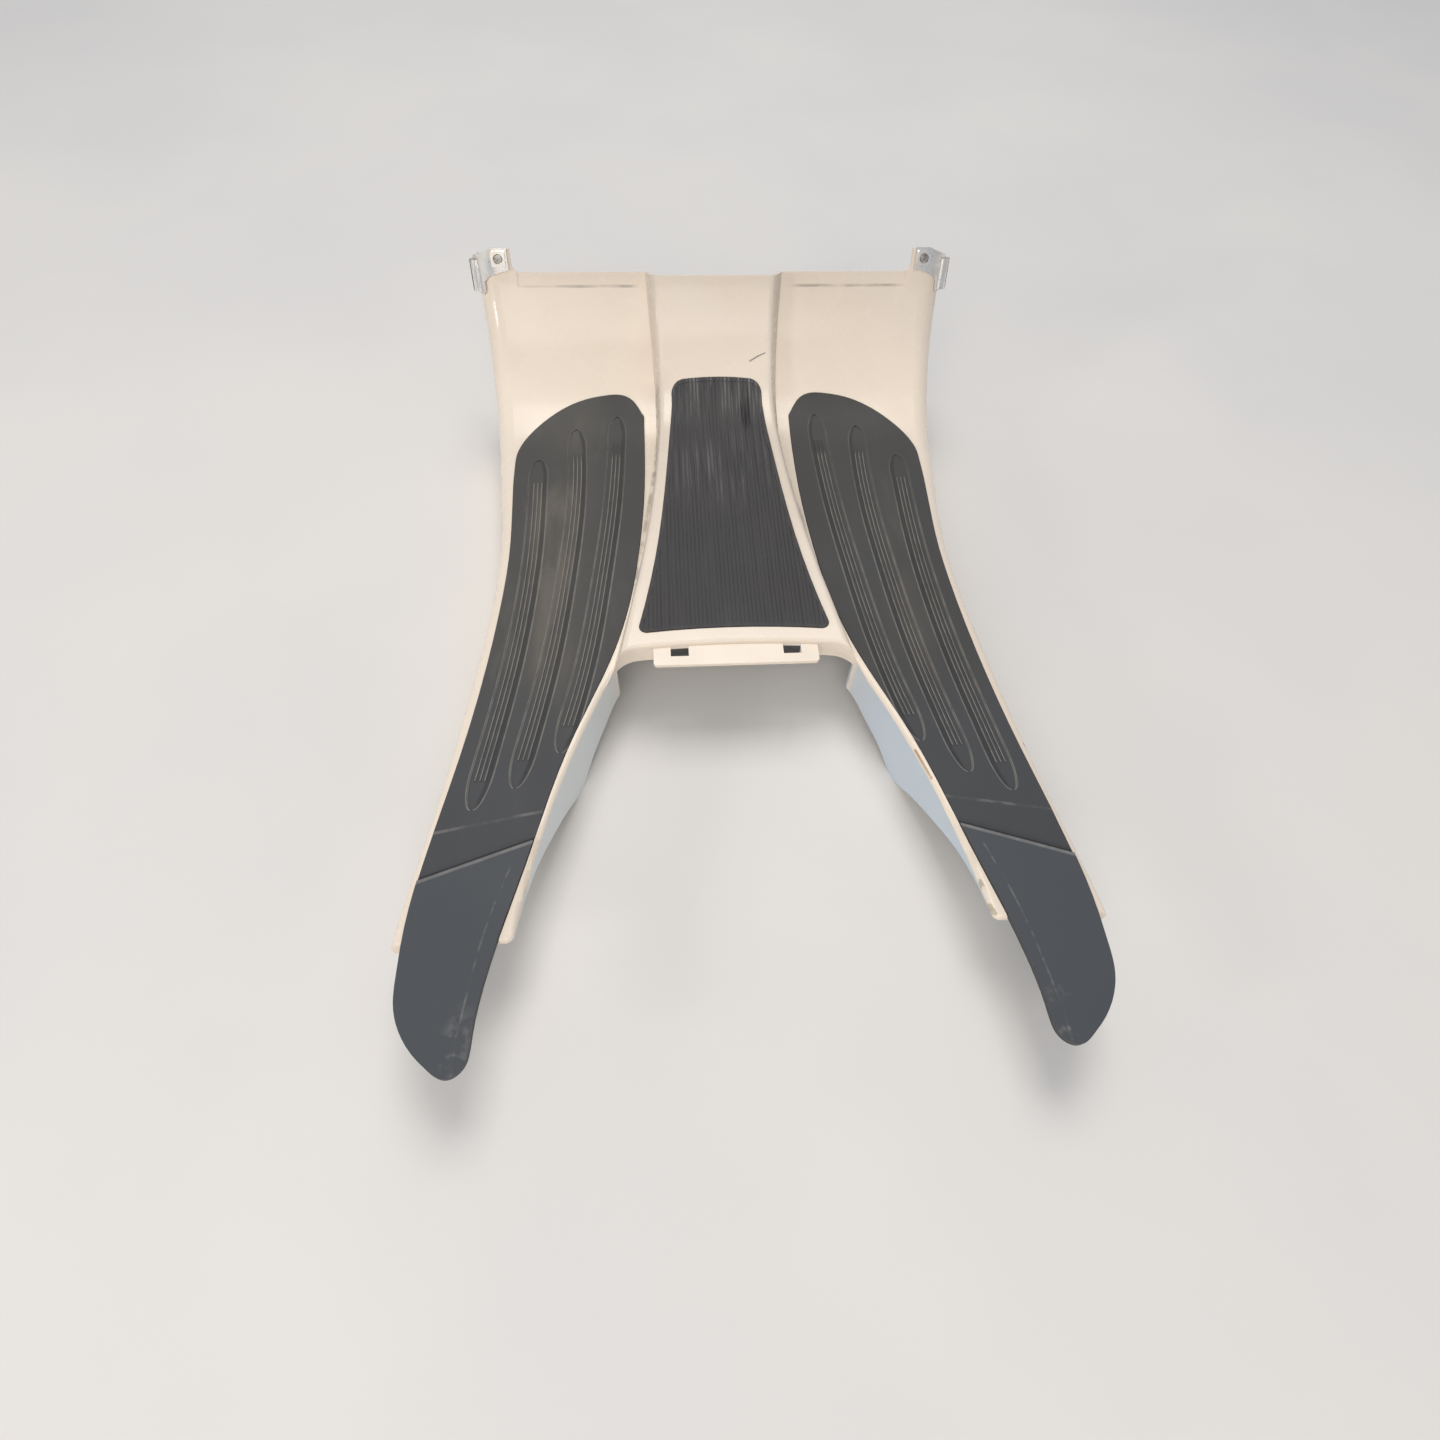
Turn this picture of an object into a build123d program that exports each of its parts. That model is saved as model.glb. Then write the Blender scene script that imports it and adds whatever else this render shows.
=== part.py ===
from build123d import *
from math import cos, radians, sin
import os

# Scooter floorboard: one moulded floor panel, three rubber mats and two chromed trim caps.
# Millimetres. +X is the rider's right, +Y is towards the leg shield, +Z is up.
# The origin is on the surface that it stands on, under the middle of the whole board.
# A place along the floor is its Y on the flat, and the length along the curve past SWEEP_START.
# A height is measured out of the floor's surface.

# Floor panel, side view
FLOOR_HEIGHT = 62.0
WALL = 3.0
ARM_END = -281.0
SWEEP_START = 197.0
SWEEP_RADIUS = 142.0
SWEEP_ANGLE = 71.0
EAR_RISE = 20.0
TOP_FLANGE = 30.5

# Floor panel, half-widths and where they are met
ARM_HALF_WIDTH = 244.0
HIP_HALF_WIDTH = 214.5
HIP_Y = -93.0
WAIST_HALF_WIDTH = 202.0
WAIST_Y = 65.0
KNEE_HALF_WIDTH = 220.0
KNEE_PAST_SWEEP = 64.0
TOP_HALF_WIDTH = 230.0

# Radius of the rolled outer edge, small on the arms and wide at the top corners
ARM_ROLL = 6.0
WAIST_ROLL = 11.0
TOP_ROLL = 24.0

# Tunnel along the middle: half-widths of its top, and widths of its soft sides
TUNNEL_RISE = 15.0
TUNNEL_REAR = -100.0
TUNNEL_REAR_HALF = 95.0
TUNNEL_MIDDLE_Y = 95.0
TUNNEL_MIDDLE_HALF = 63.5
TUNNEL_NECK_Y = 235.0
TUNNEL_NECK_HALF = 52.0
TUNNEL_TOP_HALF = 54.0
SIDE_SLOPE_REAR = 14.0
SIDE_SLOPE_MIDDLE = 7.5
SIDE_SLOPE_TOP = 15.5
FOOT_SUNK = 1.5
FOOT_SLOPE = 0.35
FOOT_WALL = 6.0

# Cut-out between the arms, right half, from the tunnel's rear edge to the end of the arm
CUTOUT_FRONT_Y = -49.5
CUTOUT_CORNER = (93.5, -54.4)
CUTOUT_CORNER_RADIUS = 25.0
CUTOUT_WAY = (128.5, -139.0)
CUTOUT_END_HALF = 163.5
EDGE_RADIUS = 3.5
ARM_CORNER = 6.0

# Lower edges of the outer skirts and of the walls along the cut-out: Y and height over the ground
SKIRT_SPLIT = 185.0
SKIRT_EDGE = [(ARM_END, 47.0), (-185.0, 30.0), (-65.0, 9.0), (40.0, 0.0)]
INNER_WALL_HALF = 97.0
INNER_EDGE = [
    (-58.0, 22.0),
    (-76.0, 21.0),
    (-95.0, 15.0),
    (-114.0, 10.0),
    (-139.0, 0.0),
    (-160.0, 12.0),
    (-191.0, 30.0),
    (-215.0, 43.0),
    (-256.0, 56.0),
    (ARM_END, 58.0),
]

# Rear ledge under the tunnel's rim, with its two tab slots, and the foot of the wall that it is on
LEDGE_HALF = 66.5
LEDGE_REACH = 19.5
LEDGE_DROP = 4.0
LEDGE_CORNER = 3.0
REAR_WALL_FOOT = 57.5
SLOT_X = 45.5
SLOT_WIDTH = 14.5
SLOT_LENGTH = 10.0
SLOT_IN = 1.0

# Joggled strip along the top edge, and the ears at the top corners
JOGGLE_INNER = 72.0
JOGGLE_OUTER = 188.0
JOGGLE_WIDTH = 12.0
JOGGLE_DEPTH = 0.7
EAR_INNER = 192.0
EAR_ROOT_RADIUS = 8.0

# Stiffening ribs and frame-bolt bosses under the floor
RIB = 2.5
RIB_DEPTH = 14.0
CROSS_RIB_Y = [5.0, 88.0, 172.0]
LONG_RIB_X = 118.0
LONG_RIB_Y = (-32.0, 185.0)
ARM_RIB_Y = [-165.0, -205.0]
BOLT_X = 140.0
BOLT_FRONT_Y = 125.0
BOLT_REAR_Y = -25.0
BOLT_HOLE = 6.5
BOLT_HEAD_BORE = 14.0
BOLT_HEAD_DEPTH = 3.0
BOSS = 18.0
BOSS_DEPTH = 26.0

# Mats, and the pegs that hold them in the floor
RECESS = 3.0
RECESS_LAND = 6.0
MAT_PROUD = 1.0
SEAT_GAP = 0.2
SIDE_GAP = 0.4
PEG = 5.6
PEG_HOLE = 6.0
PEG_HEAD = 8.0
PEG_TIP = 4.0
PEG_HEAD_DEPTH = 3.0
SIDE_PEGS = [
    (100.0, 150.0),
    (180.0, 150.0),
    (102.0, 48.0),
    (180.0, 40.0),
    (130.0, -85.0),
    (195.0, -120.0),
    (200.0, -250.0),
]
CENTRE_PEGS = [(45.0, -15.0), (33.0, 150.0)]

# Right mat outline: X and Y, from the passenger pad forwards round the nose and back to the tip
MAT_OUTER = [(235.7, -290.0), (227.5, -216.0), (212.8, -140.0), (198.5, -40.0), (191.6, 70.0), (195.0, 180.0)]
MAT_NOSE = [
    (186.5, 211.5),
    (169.4, 232.0),
    (145.7, 248.0),
    (105.0, 258.0),
    (84.0, 253.5),
    (75.0, 240.5),
    (72.4, 222.0),
]
MAT_INNER = [(72.6, 150.0), (78.6, 60.0), (97.1, -40.0), (134.4, -140.0), (161.8, -240.0), (179.7, -308.0)]
MAT_TIP = [
    (184.3, -342.0),
    (187.6, -358.0),
    (196.5, -364.2),
    (210.0, -357.5),
    (223.4, -344.0),
    (232.3, -328.0),
]

# Sunk pads on the side mats: Y and X along the middle of each, from the rear tip to the front tip
LENSES = [
    [(-185.0, 199.8), (-52.0, 179.4), (60.0, 171.3), (182.0, 172.5)],
    [(-168.5, 170.0), (-53.0, 149.6), (60.0, 138.6), (140.0, 135.4), (222.0, 138.3)],
    [(-140.0, 138.3), (-54.0, 120.6), (30.0, 110.2), (126.0, 101.8), (236.0, 98.2)],
]
LENS_HALF = 8.6
LENS_REAR_TAPER = 32.0
LENS_FRONT_TAPER = 24.0
LENS_DEPTH = 0.9
LENS_RIB = 0.9
LENS_RIB_PITCH = 3.6
LENS_RIB_REAR = 24.0
LENS_RIB_FRONT = 32.0

# Passenger pad: the crease across the mat and the ramp down to it, each line drawn past both edges
PAD_PROUD = 2.5
RAMP_DROP = 1.8
CREASE_OUTER = (250.6, -243.5)
CREASE_INNER = (135.4, -203.5)
RAMP_OUTER = (238.2, -204.0)
RAMP_INNER = (151.8, -188.0)

# Centre mat, right half, and its grooves
CENTRE_REAR_BOW = 4.5
CENTRE_FRONT_Y = 260.0
CENTRE_FRONT_BOW = 3.0
CENTRE_EDGE = [(79.3, -40.0), (70.4, 0.0), (60.4, 60.0), (51.9, 140.0), (44.0, 234.0)]
CENTRE_REAR_CORNER = 6.0
CENTRE_FRONT_CORNER = 13.0
GROOVE = 1.3
GROOVE_PITCH = 3.4
GROOVE_DEPTH = 0.8
GROOVE_BORDER = 3.0
GROOVE_COUNT = 47

# Trim caps on the ears: outline as X and distance up the ear
CAP_SKIN = 1.8
CAP_OVERHANG = 1.0
CAP_OUTLINE = [
    (194.5, 21.0),
    (208.0, 21.0),
    (220.0, 16.0),
    (236.0, 10.0),
    (236.0, -17.0),
    (222.0, -19.5),
    (219.0, -16.0),
    (219.0, -8.0),
    (214.0, -3.0),
    (203.0, 0.5),
    (194.5, 2.3),
]
CAP_WRAP = 16.0
BEAD_RADIUS = 7.0
BEAD_TILT = 60.0
BEAD_REAR = -17.0
BEAD_FRONT = 10.0
BEAD_SLOT = 2.5
BEAD_SLOT_DEPTH = 4.0
SCREW_X = 203.0
SCREW_UP = 12.0
SCREW_PAD = 13.0
SCREW_PAD_CORNER = 1.5
SCREW_PAD_PROUD = 3.8
SCREW = 4.0
SCREW_HOLE = 4.6
SCREW_HEAD = 7.8
SCREW_HEAD_BORE = 8.6
SCREW_HEAD_HEIGHT = 2.2
SCREW_HEAD_SUNK = 0.3
SCREW_HEAD_ROUND = 0.8
SCREW_LENGTH = 15.0
DRIVE_WIDTH = 1.2
DRIVE_SPAN = 4.6
DRIVE_DEPTH = 1.4
NUT_PLATE = 10.0
NUT_PLATE_THICK = 1.4
NUT_COLLAR = 7.0
NUT_COLLAR_DEPTH = 4.5
NUT_CLEAR = 0.1
NUT_GAP = 0.3

SWEEP_END = SWEEP_START + SWEEP_RADIUS * radians(SWEEP_ANGLE)
EAR_END = SWEEP_END + EAR_RISE
SIDE_SEAT = FLOOR_HEIGHT - RECESS + SEAT_GAP
CENTRE_SEAT = SIDE_SEAT + TUNNEL_RISE
SCREW_SEAT = SCREW_PAD_PROUD - SCREW_HEAD_SUNK - SCREW_HEAD_HEIGHT
SCREWS = [(SCREW_X, SCREW_UP), (-SCREW_X, SCREW_UP)]
BOLTS = [(x, y) for x in (-BOLT_X, BOLT_X) for y in (BOLT_REAR_Y, BOLT_FRONT_Y)]

# Spare lengths for bodies that are only there to cut
SPARE = 5.0
NEAR = 30.0
FAR = 300.0

# Shares of a sunk pad's taper that its outline runs through
LENS_TAPER_STEPS = [0.12, 0.35, 0.65, 1.0]

# Places, with a value at each, that the panel and the tunnel run through
PANEL_EDGE = [
    (ARM_END, ARM_HALF_WIDTH),
    (HIP_Y, HIP_HALF_WIDTH),
    (WAIST_Y, WAIST_HALF_WIDTH),
    (SWEEP_START + KNEE_PAST_SWEEP, KNEE_HALF_WIDTH),
    (EAR_END, TOP_HALF_WIDTH),
]
PANEL_ROLL = [(ARM_END, ARM_ROLL), (WAIST_Y, WAIST_ROLL), (EAR_END, TOP_ROLL)]
SKIRT = [(ARM_END, FLOOR_HEIGHT), (SWEEP_START, FLOOR_HEIGHT), (SWEEP_END, TOP_FLANGE), (EAR_END, TOP_FLANGE)]
TUNNEL_EDGE = [
    (TUNNEL_REAR, TUNNEL_REAR_HALF),
    (TUNNEL_MIDDLE_Y, TUNNEL_MIDDLE_HALF),
    (TUNNEL_NECK_Y, TUNNEL_NECK_HALF),
    (EAR_END, TUNNEL_TOP_HALF),
]
TUNNEL_SLOPE = [
    (TUNNEL_REAR, SIDE_SLOPE_REAR),
    (TUNNEL_MIDDLE_Y, SIDE_SLOPE_MIDDLE),
    (EAR_END, SIDE_SLOPE_TOP),
]


def steps(start, end, count):
    """Evenly spaced places from start to end."""
    return [start + i * (end - start) / count for i in range(count + 1)]


FLAT_PLACES = steps(ARM_END - SPARE, SWEEP_START, 6)
TUNNEL_PLACES = steps(TUNNEL_REAR, SWEEP_START, 4)
SWEEP_PLACES = steps(SWEEP_START, SWEEP_END, 4)


def along(place, knots):
    """Value at a place on the floor, on a smooth curve through the knots."""
    slopes = []
    for i in range(len(knots)):
        before = knots[max(i - 1, 0)]
        after = knots[min(i + 1, len(knots) - 1)]
        slopes.append((after[1] - before[1]) / (after[0] - before[0]))
    i = 0
    while i < len(knots) - 2 and place > knots[i + 1][0]:
        i += 1
    span = knots[i + 1][0] - knots[i][0]
    t = (place - knots[i][0]) / span
    return (
        (2 * t**3 - 3 * t**2 + 1) * knots[i][1]
        + (t**3 - 2 * t**2 + t) * span * slopes[i]
        + (3 * t**2 - 2 * t**3) * knots[i + 1][1]
        + (t**3 - t**2) * span * slopes[i + 1]
    )


def floor_plane(place):
    """Cross-section plane at a place on the floor: X to the right, Y out of the floor."""
    past = place - SWEEP_START
    turn = min(max(past / SWEEP_RADIUS, 0.0), radians(SWEEP_ANGLE))
    ahead = past if turn == 0 else max(place - SWEEP_END, 0.0)
    origin = (
        0,
        SWEEP_START + SWEEP_RADIUS * sin(turn) + ahead * cos(turn),
        FLOOR_HEIGHT + SWEEP_RADIUS * (1 - cos(turn)) + ahead * sin(turn),
    )
    return Plane(origin=origin, x_dir=(1, 0, 0), z_dir=(0, -cos(turn), -sin(turn)))


def panel_section(place, inset, reach):
    """Cross-section of the panel with its rolled edges, and its skirts longer by reach."""
    half = along(place, PANEL_EDGE) - inset
    roll = along(place, PANEL_ROLL) - inset
    foot = -min(along(place, SKIRT), FLOOR_HEIGHT) - reach
    with BuildSketch(floor_plane(place)) as section:
        with BuildLine():
            Line((-half, foot), (half, foot))
            Line((half, foot), (half, -inset - roll))
            RadiusArc((half, -inset - roll), (half - roll, -inset), -roll)
            Line((half - roll, -inset), (roll - half, -inset))
            RadiusArc((roll - half, -inset), (-half, -inset - roll), -roll)
            Line((-half, -inset - roll), (-half, foot))
        make_face()
    return section.sketch


def panel_body(inset, reach):
    """The panel without its tunnel as a full body, inset all round and open edges longer by reach."""
    with BuildPart() as body:
        for places in (FLAT_PLACES, SWEEP_PLACES, [SWEEP_END, EAR_END + reach]):
            loft(sections=[panel_section(place, inset, reach) for place in places])
    return body.part


def tunnel_section(place, inset):
    """Cross-section of the tunnel, with soft shoulders and a soft foot sunk into the floor."""
    top = along(place, TUNNEL_EDGE) - inset
    foot = top + along(place, TUNNEL_SLOPE)
    sunk = -inset - FOOT_SUNK
    rise = TUNNEL_RISE - inset
    base = sunk - FOOT_WALL
    with BuildSketch(floor_plane(place)) as section:
        with BuildLine():
            Spline((foot, sunk), (top, rise), tangents=((-1, FOOT_SLOPE), (-1, 0)))
            Line((top, rise), (-top, rise))
            Spline((-top, rise), (-foot, sunk), tangents=((-1, 0), (-1, -FOOT_SLOPE)))
            Polyline((-foot, sunk), (-foot, base), (foot, base), (foot, sunk))
        make_face()
    return section.sketch


def tunnel_body(inset):
    """The tunnel as a full body, inset all round."""
    with BuildPart() as body:
        for places in (TUNNEL_PLACES, SWEEP_PLACES, [SWEEP_END, EAR_END]):
            loft(sections=[tunnel_section(place, inset) for place in places])
    return body.part


def cutout(grow):
    """Plan of the cut-out between the arms and of all that is past their ends, grown outwards."""
    corner_half, corner_y = CUTOUT_CORNER
    with BuildLine():
        front = ThreePointArc((-corner_half, corner_y), (0, CUTOUT_FRONT_Y), CUTOUT_CORNER)
        side = ThreePointArc(CUTOUT_CORNER, CUTOUT_WAY, (CUTOUT_END_HALF, ARM_END))
    with BuildSketch() as plan:
        with Locations(front.arc_center):
            Circle(front.radius + grow)
        for mirrored in (1, -1):
            with Locations((mirrored * side.arc_center.X, side.arc_center.Y)):
                Circle(side.radius + grow, mode=Mode.INTERSECT)
        with Locations((0, ARM_END + grow)):
            Rectangle(2 * FAR, 2 * FAR, align=(Align.CENTER, Align.MIN), mode=Mode.INTERSECT)
        fillet(plan.vertices().group_by(Axis.Y)[-1], CUTOUT_CORNER_RADIUS + grow)
        with Locations((0, ARM_END + grow)):
            Rectangle(2 * FAR, FAR, align=(Align.CENTER, Align.MAX))
        arm_corners = plan.vertices().filter_by(lambda v: abs(v.X) < CUTOUT_END_HALF + 2 * WALL)
        fillet(arm_corners.filter_by(lambda v: abs(v.Y - ARM_END - grow) < 0.01), ARM_CORNER - grow)
    return plan.sketch


def floor_band(low, high):
    """Layer between two heights over the floor, right across it and up the sweep."""
    turn = radians(SWEEP_ANGLE)

    def on_arc(height, share):
        radius = SWEEP_RADIUS - height
        return (
            SWEEP_START + radius * sin(turn * share),
            FLOOR_HEIGHT + SWEEP_RADIUS - radius * cos(turn * share),
        )

    with BuildPart() as band:
        with BuildSketch(Plane.YZ):
            with BuildLine():
                Line((-2 * FAR, FLOOR_HEIGHT + low), on_arc(low, 0))
                ThreePointArc(on_arc(low, 0), on_arc(low, 0.5), on_arc(low, 1))
                Line(on_arc(low, 1), on_arc(high, 1))
                ThreePointArc(on_arc(high, 1), on_arc(high, 0.5), on_arc(high, 0))
                Line(on_arc(high, 0), (-2 * FAR, FLOOR_HEIGHT + high))
                Line((-2 * FAR, FLOOR_HEIGHT + high), (-2 * FAR, FLOOR_HEIGHT + low))
            make_face()
        extrude(amount=FAR, both=True)
    return band.part


def layer(plan, low, high):
    """The part of a floor layer that lies over a plan."""
    with BuildPart() as body:
        extrude(plan, amount=2 * FAR)
        add(floor_band(low, high), mode=Mode.INTERSECT)
    return body.part


def side_mat_plan(grow):
    """Plan of the right mat, grown outwards."""
    with BuildLine():
        outer = Spline(*MAT_OUTER, tangents=((0, 1), (0, 1)))
        nose = Spline(outer @ 1, *MAT_NOSE, tangents=(outer % 1, (0, -1)))
        inner = Spline(nose @ 1, *MAT_INNER, tangents=(nose % 1, (0.2, -1)))
        tip = Spline(inner @ 1, *MAT_TIP, outer @ 0, tangents=(inner % 1, outer % 0))
    with BuildSketch() as plan:
        with BuildLine():
            for curve in (outer, nose, inner, tip):
                points = []
                for t in steps(0.0, 1.0, 12):
                    way = curve % t
                    points.append(curve @ t + Vector(way.Y, -way.X) * grow)
                Spline(*points, tangents=(curve % 0, curve % 1))
        make_face()
    return plan.sketch


def centre_mat_plan(grow):
    """Plan of the centre mat, grown outwards."""
    edge = [(x + grow, y) for x, y in CENTRE_EDGE]
    lean = (CENTRE_EDGE[0][0] - CENTRE_EDGE[1][0]) / (CENTRE_EDGE[1][1] - CENTRE_EDGE[0][1])
    rear_half = edge[0][0] + grow * lean
    rear_y = edge[0][1] - grow
    front_half = edge[-1][0]
    front_y = CENTRE_FRONT_Y + grow
    shoulder_y = front_y - CENTRE_FRONT_BOW
    with BuildSketch() as plan:
        with BuildLine():
            side = Spline((rear_half, rear_y), *edge[1:])
            front = Line(side @ 1, (front_half, shoulder_y))
            mirror([side, front], about=Plane.YZ)
            ThreePointArc((front_half, shoulder_y), (0, front_y), (-front_half, shoulder_y))
            ThreePointArc((rear_half, rear_y), (0, rear_y + CENTRE_REAR_BOW), (-rear_half, rear_y))
        make_face()
        fillet(plan.vertices().group_by(Axis.Y)[0], CENTRE_REAR_CORNER + grow)
        fillet(plan.vertices().group_by(Axis.Y)[-1], CENTRE_FRONT_CORNER + grow)
    return plan.sketch


def lens_plan(spine):
    """Plan of one sunk pad along its spine, less the ribs that stand in it."""
    rear = spine[0][0]
    front = spine[-1][0]

    def point(y, aside):
        return (along(y, spine) + aside, y)

    def half(y):
        gone = min((y - rear) / LENS_REAR_TAPER, (front - y) / LENS_FRONT_TAPER, 1.0)
        return LENS_HALF * (1 - (1 - gone) ** 2) ** 0.5

    marks = [rear + LENS_REAR_TAPER * t for t in LENS_TAPER_STEPS]
    marks += steps(rear + LENS_REAR_TAPER, front - LENS_FRONT_TAPER, 5)[1:-1]
    marks += [front - LENS_FRONT_TAPER * t for t in reversed(LENS_TAPER_STEPS)]
    ways = steps(rear + LENS_RIB_REAR, front - LENS_RIB_FRONT, 6)
    with BuildSketch() as plan:
        with BuildLine():
            Spline(point(rear, 0), *[point(y, half(y)) for y in marks], point(front, 0))
            Spline(point(front, 0), *[point(y, -half(y)) for y in reversed(marks)], point(rear, 0))
        make_face()
        for aside in (-LENS_RIB_PITCH, 0, LENS_RIB_PITCH):
            with BuildLine():
                right = Spline(*[point(y, aside + LENS_RIB / 2) for y in ways])
                left = Spline(*[point(y, aside - LENS_RIB / 2) for y in ways])
                Line(right @ 0, left @ 0)
                Line(right @ 1, left @ 1)
            make_face(mode=Mode.SUBTRACT)
    return plan.sketch


def upright(low, high, foot, head):
    """Standing face over the line between two plan points, its lower edge going from foot to head."""
    across = high[0] - low[0]
    ahead = high[1] - low[1]
    run = (across**2 + ahead**2) ** 0.5
    plane = Plane(origin=(*low, 0), x_dir=(across, ahead, 0), z_dir=(ahead, -across, 0))
    with BuildSketch(plane) as face:
        with BuildLine():
            Polyline((0, foot), (run, head), (run, head + FAR), (0, head + FAR), close=True)
        make_face()
    return face.sketch


EAR_PLANE = Plane(origin=floor_plane(SWEEP_END).origin, x_dir=(1, 0, 0), z_dir=floor_plane(SWEEP_END).y_dir)


def pegs(spots, seat):
    """Pegs under a mat whose underside is at seat over the ground, with heads under the wall."""
    under_wall = seat - SEAT_GAP - WALL - SEAT_GAP
    with BuildPart() as body:
        for x, y in spots:
            with BuildSketch(Plane.XY.offset(under_wall)):
                with Locations((x, y)):
                    Circle(PEG / 2)
            extrude(amount=seat - under_wall)
            with Locations((x, y, under_wall - PEG_HEAD_DEPTH)):
                Cone(PEG_TIP / 2, PEG_HEAD / 2, PEG_HEAD_DEPTH, align=(Align.CENTER, Align.CENTER, Align.MIN))
    return body.part


def rounded_cutout(height):
    """Body of the cut-out, flared so that it leaves a rounded rim at a height over the ground."""
    with BuildPart() as plug:
        with BuildSketch(Plane.XY.offset(-SPARE)):
            add(cutout(0))
        extrude(amount=height + SPARE)
        with BuildSketch(Plane.XY.offset(height)):
            with Locations((0, CUTOUT_FRONT_Y + SPARE)):
                Rectangle(2 * FAR + 4 * SPARE, 3 * FAR, align=(Align.CENTER, Align.MAX))
        extrude(amount=FAR)
        rim = plug.edges().filter_by(
            lambda e: e.bounding_box().size.Z < 0.01
            and abs(e.center().Z - height) < 0.01
            and e.bounding_box().max.Y < CUTOUT_FRONT_Y + 1
            and e.bounding_box().min.Y > -2 * FAR - 1
        )
        fillet(rim, EDGE_RADIUS)
    return plug.part


with BuildPart() as tunnel:
    add(tunnel_body(0))
    add(rounded_cutout(FLOOR_HEIGHT + TUNNEL_RISE), mode=Mode.SUBTRACT)

# Hollow under the floor: what is kept out of it becomes ribs, bosses and the floors of the recesses
with BuildPart() as hollow:
    add(panel_body(WALL, SPARE))
    add(tunnel_body(WALL))
    extrude(cutout(WALL), amount=2 * FAR, mode=Mode.SUBTRACT)
    mat_floor = layer(side_mat_plan(SIDE_GAP + RECESS_LAND), -RECESS - WALL, 0)
    add(mat_floor, mode=Mode.SUBTRACT)
    add(mirror(mat_floor, about=Plane.YZ), mode=Mode.SUBTRACT)
    centre_floor = layer(centre_mat_plan(SIDE_GAP + RECESS_LAND), TUNNEL_RISE - RECESS - WALL, TUNNEL_RISE)
    add(centre_floor, mode=Mode.SUBTRACT)
    with BuildSketch(Plane.XY.offset(FLOOR_HEIGHT - RIB_DEPTH)):
        with Locations(*[(0, y) for y in CROSS_RIB_Y + ARM_RIB_Y]):
            Rectangle(2 * FAR, RIB)
        with Locations((LONG_RIB_X, LONG_RIB_Y[0]), (-LONG_RIB_X, LONG_RIB_Y[0])):
            Rectangle(RIB, LONG_RIB_Y[1] - LONG_RIB_Y[0], align=(Align.CENTER, Align.MIN))
    extrude(amount=FAR, mode=Mode.SUBTRACT)
    with BuildSketch(Plane.XY.offset(FLOOR_HEIGHT - BOSS_DEPTH)):
        with Locations(*BOLTS):
            Circle(BOSS / 2)
    extrude(amount=FAR, mode=Mode.SUBTRACT)

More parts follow.
